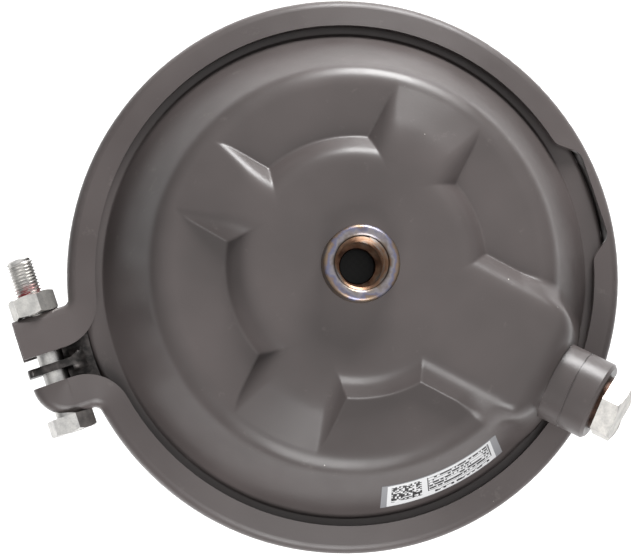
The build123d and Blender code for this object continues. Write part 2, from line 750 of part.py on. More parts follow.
# ---- stud plate and studs ----
STUD_PLATE_Z = CUP_SHEET
with BuildPart() as stud_plate:
    with BuildSketch(Plane.XY.offset(STUD_PLATE_Z)):
        Circle(CUP_WALL_R - CUP_DRAFT - CUP_CORNER_R - STUD_PLATE_FIT)
        Circle(RECESS_R + RECESS_DEPTH + STUD_PLATE_HOLE_FIT, mode=Mode.SUBTRACT)
        with Locations((STUD_X, 0), (-STUD_X, 0)):
            Circle(STUD_NECK_R, mode=Mode.SUBTRACT)
        with PolarLocations(VENT_AT_R, VENT_COUNT, start_angle=VENT_START):
            Circle(VENT_R, mode=Mode.SUBTRACT)
    extrude(amount=STUD_PLATE_T)
stud_plate.part.label = "stud_plate"
export_step(stud_plate.part, "parts/stud_plate.step")

with BuildPart() as mounting_studs:
    with BuildSketch(Plane.XY.offset(STUD_PLATE_Z + STUD_PLATE_T)):
        with Locations((STUD_X, 0), (-STUD_X, 0)):
            Circle(STUD_HEAD_R)
    extrude(amount=STUD_HEAD_H)
    chamfer(mounting_studs.edges().group_by(Axis.Z)[-1], EDGE_BREAK)
    with BuildSketch(Plane.XY.offset(STUD_PLATE_Z + STUD_PLATE_T)):
        with Locations((STUD_X, 0), (-STUD_X, 0)):
            Circle(STUD_NECK_R)
    extrude(amount=-STUD_PLATE_Z - STUD_PLATE_T)
    with BuildSketch():
        with Locations((STUD_X, 0), (-STUD_X, 0)):
            Circle(STUD_R)
    extrude(amount=-STUD_OUT)
    chamfer(mounting_studs.edges().group_by(Axis.Z)[0], THREAD_CHAMFER)
mounting_studs.part.label = "mounting_studs"
export_step(mounting_studs.part, "parts/mounting_studs.step")

# ---- dust seal in the rod hole ----
with BuildPart() as dust_seal:
    with BuildSketch(Plane.XZ):
        with BuildLine():
            Polyline(
                (SEAL_LIP_R, RECESS_DEPTH - SEAL_OUT_T),
                (SEAL_OUT_R - SEAL_OUT_T, RECESS_DEPTH - SEAL_OUT_T),
                (SEAL_OUT_R, RECESS_DEPTH),
                (CUP_HOLE_R, RECESS_DEPTH),
                (CUP_HOLE_R, RECESS_TOP_Z),
                (SEAL_IN_R, RECESS_TOP_Z),
                (SEAL_IN_R, RECESS_TOP_Z + SEAL_IN_T),
                (SEAL_LIP_R + SEAL_IN_T, RECESS_TOP_Z + SEAL_IN_T),
                (SEAL_LIP_R, RECESS_TOP_Z - CUP_SHEET / 2),
                close=True,
            )
        make_face()
    revolve(axis=Axis.Z)
dust_seal.part.label = "dust_seal"
export_step(dust_seal.part, "parts/dust_seal.step")

# ---- diaphragm, at rest against the cap ----
with BuildPart() as diaphragm:
    roof = FLOOR_H - CAP_SHEET - SKIN_GAP
    upper = CAP_SHEET + SKIN_GAP * WALL_SIN
    lower = upper + SKIN_T
    with BuildSketch(Plane.XZ) as skin:
        with BuildLine():
            Polyline(
                (0, MID_Z + roof),
                (wall_radius(roof, upper), MID_Z + roof),
                (wall_radius(HALF_RIM, upper), MID_Z + HALF_RIM),
                (SKIN_RIM_R, MID_Z + HALF_RIM),
                (SKIN_RIM_R, MID_Z - HALF_RIM),
                (wall_radius(-HALF_RIM, lower), MID_Z - HALF_RIM),
                (wall_radius(roof - SKIN_T, lower), MID_Z + roof - SKIN_T),
                (0, MID_Z + roof - SKIN_T),
                close=True,
            )
        make_face()
        fillet(near(skin, ((wall_radius(roof, upper), MID_Z + roof),)), SHOULDER_R)
        inside = (wall_radius(roof - SKIN_T, lower), MID_Z + roof - SKIN_T)
        fillet(near(skin, (inside,)), SHOULDER_R - SKIN_T)
        outer_turn = (wall_radius(HALF_RIM, upper), MID_Z + HALF_RIM)
        fillet(near(skin, (outer_turn,)), BEND_R + CAP_SHEET)
        inner_turn = (wall_radius(-HALF_RIM, lower), MID_Z - HALF_RIM)
        fillet(near(skin, (inner_turn,)), BEND_R + CAP_SHEET + SKIN_T)
    revolve(axis=Axis.Z)
diaphragm.part.label = "diaphragm"
export_step(diaphragm.part, "parts/diaphragm.step")

# ---- push plate ----
with BuildPart() as push_plate:
    with BuildSketch(Plane.XZ) as dish:
        with BuildLine():
            Polyline(
                (ROD_SPIGOT_R, PLATE_TOP_Z),
                (PLATE_R, PLATE_TOP_Z),
                (PLATE_R, PLATE_TOP_Z - PLATE_SKIRT),
                (PLATE_R - PLATE_T / 2, PLATE_TOP_Z - PLATE_SKIRT),
                (PLATE_R - PLATE_T, PLATE_TOP_Z - PLATE_T),
                (ROD_SPIGOT_R, PLATE_TOP_Z - PLATE_T),
                close=True,
            )
        make_face()
        fillet(near(dish, ((PLATE_R, PLATE_TOP_Z),)), PLATE_EDGE_R)
    revolve(axis=Axis.Z)
    with BuildSketch(Plane.XY.offset(PLATE_TOP_Z)):
        Circle(RIVET_R)
    extrude(amount=-RIVET_H, mode=Mode.SUBTRACT)
push_plate.part.label = "push_plate"
export_step(push_plate.part, "parts/push_plate.step")

# ---- push rod, riveted into the plate ----
CROTCH_Z = PIN_Z + YOKE_CROTCH_UP
YOKE_TOP_Z = PIN_Z + YOKE_TOP_UP
ROD_END_Z = CROTCH_Z + ROD_END_UP
with BuildPart() as push_rod:
    with BuildSketch(Plane.XY.offset(ROD_END_Z)):
        Circle(ROD_R)
    extrude(amount=PLATE_TOP_Z - PLATE_T - ROD_END_Z)
    chamfer(push_rod.edges().group_by(Axis.Z)[0], THREAD_CHAMFER)
    with BuildSketch(Plane.XY.offset(PLATE_TOP_Z - PLATE_T)):
        Circle(ROD_SPIGOT_R)
    extrude(amount=PLATE_T - RIVET_H)
    with BuildSketch(Plane.XY.offset(PLATE_TOP_Z - RIVET_H)):
        Circle(RIVET_R)
    extrude(amount=RIVET_H)
push_rod.part.label = "push_rod"
export_step(push_rod.part, "parts/push_rod.step")

# ---- conical return spring, ends ground flat ----
SPRING_LOW_Z = STUD_PLATE_Z + STUD_PLATE_T + SPRING_GAP
SPRING_TOP_Z = PLATE_TOP_Z - PLATE_T - SPRING_GAP
with BuildPart() as return_spring:
    height = SPRING_TOP_Z - SPRING_LOW_Z - 2 * WIRE_R
    with BuildLine():
        coil = Helix(
            pitch=height / SPRING_COILS,
            height=height,
            radius=SPRING_LOW_R,
            center=(0, 0, SPRING_LOW_Z + WIRE_R),
            cone_angle=-degrees(atan2(SPRING_LOW_R - SPRING_TOP_R, height)),
        )
    with BuildSketch(Plane(origin=coil @ 0, z_dir=coil % 0)):
        Circle(WIRE_R)
    sweep(is_frenet=True)
return_spring.part.label = "return_spring"
export_step(return_spring.part, "parts/return_spring.step")

# ---- yoke ----
with BuildPart() as clevis:
    with BuildSketch(Plane.XZ.offset(-YOKE_HALF_T)):
        with Locations((0, PIN_Z)):
            Circle(YOKE_EAR_R)
            Rectangle(
                2 * YOKE_EAR_R,
                YOKE_BLOCK_UP,
                align=(Align.CENTER, Align.MIN),
            )
    extrude(amount=2 * YOKE_HALF_T)
    shoulder = clevis.faces().sort_by(Axis.Z)[-1]
    chamfer(shoulder.edges(), YOKE_CHAMFER)
    with BuildSketch(Plane.XY.offset(PIN_Z + YOKE_BLOCK_UP)):
        Circle(YOKE_NECK_R)
    extrude(amount=YOKE_TOP_UP - YOKE_BLOCK_UP)
    chamfer(clevis.edges().group_by(Axis.Z)[-1], EDGE_BREAK)
    with BuildSketch(Plane.YZ.offset(-2 * YOKE_EAR_R)):
        with Locations((0, PIN_Z - 2 * YOKE_EAR_R)):
            Rectangle(
                2 * YOKE_SLOT_HALF,
                YOKE_CROTCH_UP + 2 * YOKE_EAR_R,
                align=(Align.CENTER, Align.MIN),
            )
    extrude(amount=4 * YOKE_EAR_R, mode=Mode.SUBTRACT)
    with BuildSketch(Plane.XY.offset(CROTCH_Z)):
        Circle(ROD_R)
    extrude(amount=YOKE_TOP_UP, mode=Mode.SUBTRACT)
    with BuildSketch(Plane.XZ.offset(-YOKE_HALF_T)):
        with Locations((0, PIN_Z)):
            Circle(PIN_R + PIN_CLEARANCE)
    extrude(amount=2 * YOKE_HALF_T, mode=Mode.SUBTRACT)
clevis.part.label = "clevis"
export_step(clevis.part, "parts/clevis.step")

# ---- lock nut above the yoke ----
with BuildPart() as rod_lock_nut:
    add(chamfered_hexagon(M16_AF, LOCK_NUT_H, Plane.XY.offset(YOKE_TOP_Z), True))
    with BuildSketch(Plane.XY.offset(YOKE_TOP_Z)):
        Circle(ROD_R)
    extrude(amount=LOCK_NUT_H, mode=Mode.SUBTRACT)
rod_lock_nut.part.label = "rod_lock_nut"
export_step(rod_lock_nut.part, "parts/rod_lock_nut.step")

# ---- clevis pin, washer and split pin ----
PIN_PLANE = Plane(origin=(0, 0, PIN_Z), x_dir=(1, 0, 0), z_dir=(0, 1, 0))
COTTER_Y = YOKE_HALF_T + COTTER_AT
with BuildPart() as clevis_pin:
    with BuildSketch(PIN_PLANE.offset(-YOKE_HALF_T - PIN_SIDE_GAP)):
        Circle(PIN_HEAD_R)
    extrude(amount=-PIN_HEAD_H)
    chamfer(clevis_pin.edges().group_by(Axis.Y)[0], EDGE_BREAK)
    with BuildSketch(PIN_PLANE.offset(-YOKE_HALF_T - PIN_SIDE_GAP)):
        Circle(PIN_R)
    extrude(amount=2 * YOKE_HALF_T + PIN_SIDE_GAP + PIN_TAIL)
    chamfer(clevis_pin.edges().group_by(Axis.Y)[-1], PIN_CHAMFER)
    with BuildSketch(Plane.XY.offset(PIN_Z)):
        with Locations((0, COTTER_Y)):
            Circle(COTTER_R + COTTER_FIT)
    extrude(amount=2 * PIN_R, both=True, mode=Mode.SUBTRACT)
clevis_pin.part.label = "clevis_pin"
export_step(clevis_pin.part, "parts/clevis_pin.step")

with BuildPart() as pin_washer:
    with BuildSketch(PIN_PLANE.offset(YOKE_HALF_T + PIN_SIDE_GAP)):
        Circle(WASHER_R)
        Circle(PIN_R, mode=Mode.SUBTRACT)
    extrude(amount=WASHER_T)
pin_washer.part.label = "pin_washer"
export_step(pin_washer.part, "parts/pin_washer.step")

with BuildPart() as split_pin:
    eye_z = PIN_Z + PIN_R + COTTER_EYE_R
    tail_z = PIN_Z - PIN_R - COTTER_BEND_R
    leg_z = tail_z + COTTER_LEG_LAP
    with BuildSketch(Plane.XY.offset(tail_z)):
        with Locations((0, COTTER_Y)):
            Circle(COTTER_R)
    extrude(amount=eye_z - COTTER_EYE_R - tail_z)
    with BuildSketch(Plane.XY.offset(eye_z)):
        with Locations((COTTER_EYE_R, COTTER_Y)):
            Circle(COTTER_LEG_R)
    revolve(axis=Axis((0, COTTER_Y, eye_z), (0, 1, 0)))
    for side in (-1, 1):
        leg_x = side * (COTTER_R - COTTER_LEG_R - COTTER_LEG_IN)
        turn = Axis((leg_x + side * COTTER_BEND_R, COTTER_Y, leg_z), (0, side, 0))
        with BuildSketch(Plane.XY.offset(leg_z)):
            with Locations((leg_x, COTTER_Y)):
                Circle(COTTER_LEG_R)
        revolve(axis=turn, revolution_arc=-COTTER_BEND_DEG)
split_pin.part.label = "split_pin"
export_step(split_pin.part, "parts/split_pin.step")
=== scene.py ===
from math import atan, cos, hypot, pi, radians, sin, tan

import bmesh
import bpy
from mathutils import Matrix, Vector


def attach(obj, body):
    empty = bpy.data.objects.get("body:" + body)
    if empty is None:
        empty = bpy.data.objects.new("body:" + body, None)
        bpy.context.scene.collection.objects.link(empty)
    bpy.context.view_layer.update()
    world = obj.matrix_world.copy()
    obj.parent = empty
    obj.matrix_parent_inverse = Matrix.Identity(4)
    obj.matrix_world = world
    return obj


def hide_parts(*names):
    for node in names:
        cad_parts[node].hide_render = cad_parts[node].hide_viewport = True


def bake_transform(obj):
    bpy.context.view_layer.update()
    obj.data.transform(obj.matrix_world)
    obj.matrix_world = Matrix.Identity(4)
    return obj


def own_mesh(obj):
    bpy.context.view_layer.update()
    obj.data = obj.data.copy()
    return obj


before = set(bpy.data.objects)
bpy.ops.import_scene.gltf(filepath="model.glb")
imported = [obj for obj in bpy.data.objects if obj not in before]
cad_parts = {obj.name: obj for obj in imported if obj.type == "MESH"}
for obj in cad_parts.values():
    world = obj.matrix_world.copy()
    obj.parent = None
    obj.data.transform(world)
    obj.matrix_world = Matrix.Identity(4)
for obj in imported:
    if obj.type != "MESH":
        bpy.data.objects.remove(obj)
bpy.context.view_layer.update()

# ---- pressure housing ----
# The cap: a deep stamping in mild steel, 2.6 mm thick. It is dip coated in black after the ports are
# brazed and welded in, so every bare area near them is either masked or heat tinted.


def paint(hex_code):
    """Linear colour of an sRGB hex value."""
    out = []
    for i in (1, 3, 5):
        c = int(hex_code[i:i + 2], 16) / 255
        out.append(c / 12.92 if c <= 0.04045 else ((c + 0.055) / 1.055) ** 2.4)
    return (*out, 1.0)


def step(tree, kind, settings=None, inputs=None):
    """Adds a node, sets its options, and sets or links its inputs."""
    node = tree.nodes.new(kind)
    for name, value in (settings or {}).items():
        setattr(node, name, value)
    for socket, value in (inputs or {}).items():
        if isinstance(value, bpy.types.NodeSocket):
            tree.links.new(value, node.inputs[socket])
        else:
            node.inputs[socket].default_value = value
    return node


def finish_of(name, roughness, metallic=0.0, **sockets):
    """A new material with its shader's plain values set; returns it with its tree and shader."""
    material = bpy.data.materials.new(name)
    material.use_nodes = True
    tree = material.node_tree
    shader = tree.nodes["Principled BSDF"]
    shader.inputs["Roughness"].default_value = roughness
    shader.inputs["Metallic"].default_value = metallic
    for socket, value in sockets.items():
        shader.inputs[socket.replace("_", " ")].default_value = value
    return material, tree, shader


def per_metre(size_mm):
    """Texture scale, on object coordinates in metres, for a feature of a real size."""
    return 1000.0 / size_mm


def blotches(tree, size_mm, low, high, detail=3.0, roughness=0.55, least=0.0, most=1.0):
    """Soft irregular patches of a real size, spread from least to most between two noise levels."""
    place = step(tree, "ShaderNodeTexCoord")
    noise = step(tree, "ShaderNodeTexNoise", None, {
        "Vector": place.outputs["Object"],
        "Scale": per_metre(size_mm),
        "Detail": detail,
        "Roughness": roughness,
    })
    spread = step(tree, "ShaderNodeMapRange", None, {
        "Value": noise.outputs["Fac"],
        "From Min": low,
        "From Max": high,
        "To Min": least,
        "To Max": most,
    })
    return spread.outputs["Result"]


# The Mix node's sockets for two colours, and its output for them.
SHARE, UNDER, OVER = 0, 6, 7
BLENDED = 2


def stained(tree, base, stain, size_mm, low, high, detail=3.0, roughness=0.55, most=1.0):
    """A colour with soft patches of a second one, which hide at most a share of it."""
    return step(tree, "ShaderNodeMix", {"data_type": "RGBA"}, {
        SHARE: blotches(tree, size_mm, low, high, detail, roughness, most=most),
        UNDER: base,
        OVER: stain,
    }).outputs[BLENDED]


def dusted(tree, base, dust, spacing_mm, size_mm, dusty):
    """A colour with round dust grains on it: one grain in a share of the cells round random points."""
    place = step(tree, "ShaderNodeTexCoord")
    cells = step(tree, "ShaderNodeTexVoronoi", None, {
        "Vector": place.outputs["Object"],
        "Scale": per_metre(spacing_mm),
    })
    grain = step(tree, "ShaderNodeMath", {"operation": "LESS_THAN"}, {
        0: cells.outputs["Distance"],
        1: size_mm / spacing_mm / 2,
    })
    drawn = step(tree, "ShaderNodeSeparateColor", None, {"Color": cells.outputs["Color"]})
    chosen = step(tree, "ShaderNodeMath", {"operation": "LESS_THAN"}, {
        0: drawn.outputs["Red"],
        1: dusty,
    })
    on_grain = step(tree, "ShaderNodeMath", {"operation": "MULTIPLY"}, {
        0: grain.outputs[0],
        1: chosen.outputs[0],
    })
    return step(tree, "ShaderNodeMix", {"data_type": "RGBA"}, {
        SHARE: on_grain.outputs[0],
        UNDER: base,
        OVER: dust,
    }).outputs[BLENDED]


def surface_grain(tree, shader, size_mm, depth_mm, detail=2.0):
    """Fine relief of a real grain size and depth."""
    place = step(tree, "ShaderNodeTexCoord")
    grain = step(tree, "ShaderNodeTexNoise", None, {
        "Vector": place.outputs["Object"],
        "Scale": per_metre(size_mm),
        "Detail": detail,
    })
    bump = step(tree, "ShaderNodeBump", None, {
        "Strength": 1.0,
        "Distance": depth_mm / 1000,
        "Height": grain.outputs["Fac"],
    })
    tree.links.new(bump.outputs["Normal"], shader.inputs["Normal"])


FILM_SPECULAR = 0.42
FILM_CLOUD_MM = 38.0
FILM_SHEEN_MM = 12.0
ORANGE_PEEL_MM = 0.9
ORANGE_PEEL_DEPTH_MM = 0.012
RUB_MM = 7.0
RUB_MOST = 0.35
RUB_COLOUR = "#8b8480"
DUST_SPACING_MM = 5.0
DUST_MM = 0.42
DUST_COLOUR = "#c9c4be"


def dip_coat(name, film, lean_film, gloss, dusty):
    """Black electro-dip coat on drawn steel: semi-matt, slightly cloudy, with a fine orange peel,
    handling dust and pale rub marks."""
    material, tree, shader = finish_of(name, gloss, Specular_IOR_Level=FILM_SPECULAR)
    colour = stained(tree, paint(film), paint(lean_film), FILM_CLOUD_MM, low=0.35, high=0.68)
    colour = stained(tree, colour, paint(RUB_COLOUR), RUB_MM, low=0.62, high=0.8,
                     detail=6.0, roughness=0.7, most=RUB_MOST)
    colour = dusted(tree, colour, paint(DUST_COLOUR), DUST_SPACING_MM, DUST_MM, dusty)
    tree.links.new(colour, shader.inputs["Base Color"])
    sheen = blotches(tree, FILM_SHEEN_MM, low=0.3, high=0.7, least=gloss - 0.05, most=gloss + 0.07)
    tree.links.new(sheen, shader.inputs["Roughness"])
    surface_grain(tree, shader, ORANGE_PEEL_MM, ORANGE_PEEL_DEPTH_MM)
    return material


def coat_node(node, material):
    """Gives a CAD node its finish."""
    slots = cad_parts[node].data.materials
    slots.clear()
    slots.append(material)


cap_coat = dip_coat("black dip coat on the cap", "#524c4b", "#5c5554", 0.33, 0.1)
coat_node("side_port_boss", cap_coat)


def lathe(mesh, outline, steps=64, closed=True, merge=1e-6):
    """Turns an outline of (radius, height) points about the Z axis."""
    corners = [mesh.verts.new((r, 0, z)) for r, z in outline]
    ends = corners[1:] + (corners[:1] if closed else [])
    edges = [mesh.edges.new(pair) for pair in zip(corners, ends)]
    bmesh.ops.spin(mesh, geom=corners + edges, cent=(0, 0, 0), axis=(0, 0, 1), angle=2 * pi,
                   steps=steps, use_merge=True)
    if merge:
        bmesh.ops.remove_doubles(mesh, verts=mesh.verts, dist=merge)


def piece(name, mesh, material, smooth=True, sharp_deg=35.0):
    """Makes an object from a bmesh, with its faces outwards, and gives it its finish."""
    bmesh.ops.recalc_face_normals(mesh, faces=mesh.faces)
    data = bpy.data.meshes.new(name)
    mesh.to_mesh(data)
    mesh.free()
    data.materials.append(material)
    if smooth:
        data.shade_smooth()
        data.set_sharp_from_angle(angle=radians(sharp_deg))
    made = bpy.data.objects.new(name, data)
    bpy.context.scene.collection.objects.link(made)
    return made


# The cap is turned first, and each point of its two faces is then lifted to a height, in millimetres
# above the clamp's middle: a cone wall with a rounded shoulder, a crown with four arms on its floor, and
# the bulge behind the side port, which is a rounded box about the port's climbing axis, flared inwards.
CLAMP_Z_MM = 75.0
SHEET = 2.6
WALL_FOOT_R = 75.1
WALL_FOOT_H = 4.1
WALL_LEAN = radians(61)
SHOULDER_AT_R = 54.9
SHOULDER_AT_H = 22.0
SHOULDER_R = 9.0
FLOOR = 31.0
CROWN = 37.5
CROWN_R = 39.5
FLANK_LEAN = radians(39)
FLANK_RISE = 1.42  # slope at the flank's foot
FLANK_ROLL = 0.058  # and how fast it eases, per millimetre
# Each arm: azimuth, foot width, radius where its top starts to slope down, and that slope.
ARMS = (
    (radians(332.5), 43.6, 48.5, 0.70),
    (radians(62.3), 30.0, 39.4, 0.3824),
    (radians(150.5), 25.5, 39.4, 0.3824),
    (radians(243.6), 29.5, 39.4, 0.3824),
)
EDGE_BLEND = 2.2
CREST_BLEND = 2.4
SWELL_IN_R = 11.55
SWELL_OUT_R = 24.0
SWELL_H = 1.2
BULGE_AZ = radians(331.9)
BULGE_CLIMB = radians(17)
BULGE_FACE_R = 71.3
BULGE_FACE_H = 19.0
BULGE_HALF_W = 15.5
BULGE_UP = 17.0
BULGE_DOWN = 14.0
BULGE_FLARE = radians(33)
BULGE_TOP_BLEND = 1.5
BULGE_END_ROUND = 5.0
BULGE_SIDE_ROUND = 4.0
BULGE_FILLET = 3.2
FILLET_FROM_R = 50.0  # the bulge grows out of the crown inside this radius
FILLET_RUN = 8.0
NEARLY_SHARP = 0.001
BULGE_REACH = 32.0
BULGE_SPREAD = 36.0
WALL_SHARE = 0.6  # depth below a sloping face as a share of the drop to it
SEARCH_FROM = CROWN + 1.0
SEARCH_STEP = 1.5
SEARCH_HALVINGS = 12
FLANGE_R = 81.8
FLANGE_ROLL = 1.9
FLANGE_UNDER = 1.5
FLANGE_FLAT_R = 79.0
CREASE_BLEND = 0.7
MOUTH_BLEND = 3.0
CAP_STEPS = 720
CAP_SHARP_DEG = 55
OUTSIDE, INSIDE = 100.0, 0.0  # marks for the two faces until their heights are set


def soft_min(a, b, blend):
    """Smaller of two heights, with a rounded corner where they cross."""
    share = max(blend - abs(a - b), 0.0) / blend
    return min(a, b) - share * share * blend / 4


def rounded(a, b, reach):
    """Smaller of two depths inside a solid, with its edge rounded."""
    if a < reach and b < reach:
        return reach - hypot(reach - a, reach - b)
    return min(a, b)


def flank(inside):
    """Rise of the relief's flank above the floor: steep at its crisp foot, then rolling over."""
    reach = min(inside, FLANK_RISE / FLANK_ROLL / 2)
    return FLANK_RISE * reach - FLANK_ROLL * max(reach, 0.0) ** 2


def pressed(x, y, inset):
    """Height of the dome with its crown and arms, for the face that lies inset below the outer one, and
    how far the point lies inside the relief's outline."""
    r = hypot(x, y)
    shoulder_r = SHOULDER_R - inset
    if r < SHOULDER_AT_R:
        base = FLOOR - inset
    elif r < SHOULDER_AT_R + shoulder_r * sin(WALL_LEAN):
        base = SHOULDER_AT_H + (shoulder_r ** 2 - (r - SHOULDER_AT_R) ** 2) ** 0.5
    else:
        base = WALL_FOOT_H + (WALL_FOOT_R - inset / sin(WALL_LEAN) - r) * tan(WALL_LEAN)
    narrower = inset * tan(FLANK_LEAN / 2)
    inside = CROWN_R - narrower - r
    furthest, crest, slope = 0.0, CROWN, 0.0
    for az, width, arm_crest, arm_slope in ARMS:
        out = x * cos(az) + y * sin(az)
        across = abs(y * cos(az) - x * sin(az))
        if out > 0:
            inside = max(inside, width / 2 - narrower - across)
        if out > furthest:
            furthest, crest, slope = out, arm_crest, arm_slope
    lean = atan(slope)
    if r > SHOULDER_AT_R + shoulder_r * sin(lean):
        return base, inside
    fall = (r - crest + inset * tan(lean / 2)) * slope
    lid = soft_min(CROWN - inset, CROWN - inset - fall, CREST_BLEND)
    return max(base, soft_min(lid, FLOOR - inset + flank(inside), EDGE_BLEND)), inside


def bulged(x, y, inset):
    """Height of the whole stamped face: the bulge's rounded box joins the dome with a soft fillet."""
    plain, inside = pressed(x, y, inset)
    along = x * cos(BULGE_AZ) + y * sin(BULGE_AZ) - BULGE_FACE_R
    across = abs(y * cos(BULGE_AZ) - x * sin(BULGE_AZ))
    if along < -BULGE_REACH or across > BULGE_SPREAD:
        return plain
    roof = soft_min(CROWN - inset, FLOOR - inset + flank(inside), EDGE_BLEND)
    fillet = BULGE_FILLET * min(max((hypot(x, y) - FILLET_FROM_R) / FILLET_RUN, NEARLY_SHARP), 1.0)

    def depth(h):
        """How far a point at height h lies inside the bulge or the dome."""
        up = h - BULGE_FACE_H
        deep = -along * cos(BULGE_CLIMB) - up * sin(BULGE_CLIMB)
        rise = up * cos(BULGE_CLIMB) - along * sin(BULGE_CLIMB)
        flare = deep * tan(BULGE_FLARE)
        top = (BULGE_UP + flare - rise) * cos(BULGE_FLARE) - inset
        low = (BULGE_DOWN + flare + rise) * cos(BULGE_FLARE) - inset
        side = (BULGE_HALF_W + flare - across) * cos(BULGE_FLARE) - inset
        box = rounded(deep - inset, soft_min(top, roof - h, BULGE_TOP_BLEND), BULGE_END_ROUND)
        box = rounded(rounded(box, side, BULGE_SIDE_ROUND), low, BULGE_SIDE_ROUND)
        return -rounded(-box, (h - plain) * WALL_SHARE, fillet)

    high = SEARCH_FROM
    low = high - SEARCH_STEP
    while low > plain and depth(low) < 0:
        high = low
        low -= SEARCH_STEP
    low = max(low, plain)
    for _ in range(SEARCH_HALVINGS):
        middle = (low + high) / 2
        if depth(middle) < 0:
            high = middle
        else:
            low = middle
    return min(max(low, plain), max(CROWN - inset, plain))


def outer_height(x, y):
    """Height of the cap's outer face, with the swell at the port ring and the flange's rolled edge."""
    r = hypot(x, y)
    rolled = (r - FLANGE_R) / FLANGE_ROLL + 1
    if rolled > 0:
        return WALL_FOOT_H - FLANGE_ROLL * (1 - max(1 - min(rolled, 1.0) ** 2, 0.0) ** 0.5)
    h = bulged(x, y, 0.0)
    if r < SWELL_OUT_R:
        h += SWELL_H * ((SWELL_OUT_R - r) / (SWELL_OUT_R - SWELL_IN_R)) ** 2
    return -soft_min(-h, -WALL_FOOT_H, CREASE_BLEND)


def inner_height(x, y):
    """Height of the cap's inner face, one sheet thickness in, flat under the flange."""
    if hypot(x, y) > FLANGE_FLAT_R:
        return FLANGE_UNDER
    return -soft_min(-bulged(x, y, SHEET), -FLANGE_UNDER, MOUTH_BLEND)


def banded(bands):
    """Ring radii, evenly spaced in each band from its own start to the next band's."""
    radii = []
    for (first, count), (last, _) in zip(bands, bands[1:]):
        radii += [first + (last - first) * i / count for i in range(count)]
    return radii


# Where each band of rings starts, and how many it has. They lie closer where the faces bend.
ROLL_IN_R = FLANGE_R - FLANGE_ROLL
OUTER_BANDS = (
    (SWELL_IN_R, 12), (28.0, 52), (57.0, 9), (64.0, 13), (73.9, 9), (76.2, 2), (ROLL_IN_R, 0),
)
INNER_BANDS = (
    (FLANGE_R, 1), (77.0, 1), (74.0, 4), (68.0, 19), (30.0, 1), (26.0, 1), (18.0, 1), (SWELL_IN_R, 0),
)
roll_radii = [ROLL_IN_R + FLANGE_ROLL * sin(radians(a)) for a in range(0, 91, 18)]
outer_radii = banded(OUTER_BANDS) + roll_radii
inner_radii = [*banded(INNER_BANDS), SWELL_IN_R]
cap_mesh = bmesh.new()
turned_cap = [(r, OUTSIDE) for r in outer_radii] + [(r, INSIDE) for r in inner_radii]
lathe(cap_mesh, turned_cap, CAP_STEPS, merge=0)
for v in cap_mesh.verts:
    face_height = outer_height if v.co.z > OUTSIDE / 2 else inner_height
    v.co.z = CLAMP_Z_MM + face_height(v.co.x, v.co.y)
bmesh.ops.scale(cap_mesh, vec=(0.001, 0.001, 0.001), verts=cap_mesh.verts)
cap = piece("stamped_cap", cap_mesh, cap_coat, sharp_deg=CAP_SHARP_DEG)
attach(cap, "housing")
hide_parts("pressure_housing")

# ---- air port ring ----
# A turned steel ring brazed into the crown, tapped M16 x 1.5 for the air line, with a narrower hole
# below. It was masked from the dip, so it shows bare steel with straw, brown and blue heat tint from
# the brazing.
RING_TOP = 0.120
RING_FOOT = 0.1065
RING_R = 0.01155
RING_ROUND = 0.0013
RING_THREAD_FOOT = 0.108
RING_STEP_R = 0.0052
RING_MOUTH_R = 0.0083
RING_ROOT_R = 0.00805
RING_CREST_R = 0.0072
RING_LEAD = 0.0008
RING_LIP = 0.0006
RING_STEP_EDGE = 0.0003
RING_RIDGE_LOW = 0.001
RING_RIDGE_HIGH = 0.0017
M16_PITCH = 0.0015
RIDGE_SINK = 0.0001  # a thread ridge starts this far inside its core
RIDGE_ROOT_SHARE = 0.96  # widths of a ridge's root and crest as shares of the pitch
RIDGE_CREST_SHARE = 0.12
TINT_WANDER_MM = 6.0
TINT_DRIFT = 0.0034
TINT_IN_R = 0.0068
TINT_OUT_R = 0.0145
SOOT_MM = 2.2
SOOT_MOST = 0.5
# Share of the way from the inner to the outer radius of the tint, and the oxide's colour there. The
# outer one lies past the rim, because the bands wander outwards.
TINT_BANDS = (
    (0.0, "#3c2a22"), (0.12, "#5e4334"), (0.3, "#7d6350"), (0.42, "#77706b"), (0.55, "#8c878b"),
    (0.66, "#6f7086"), (0.74, "#7f7069"), (0.84, "#8b7762"), (1.0, "#7d7674"),
)
SOOT_COLOUR = "#6a5c52"


def thread_ridge(mesh, root_r, crest_r, pitch, low, high, steps=36):
    """One helical ridge with sloping flanks and a narrow crest, wound from low to high."""
    root = pitch * RIDGE_ROOT_SHARE / 2
    crest = pitch * RIDGE_CREST_SHARE / 2
    section = [(root_r, -root), (crest_r, -crest), (crest_r, crest), (root_r, root)]
    corners = [mesh.verts.new((r, 0, low + z)) for r, z in section]
    face = mesh.faces.new(corners)
    turns = (high - low) / pitch
    count = round(turns * steps)
    bmesh.ops.spin(mesh, geom=[face], cent=(0, 0, 0), axis=(0, 0, 1), angle=2 * pi * turns,
                   dvec=(0, 0, (high - low) / count), steps=count)


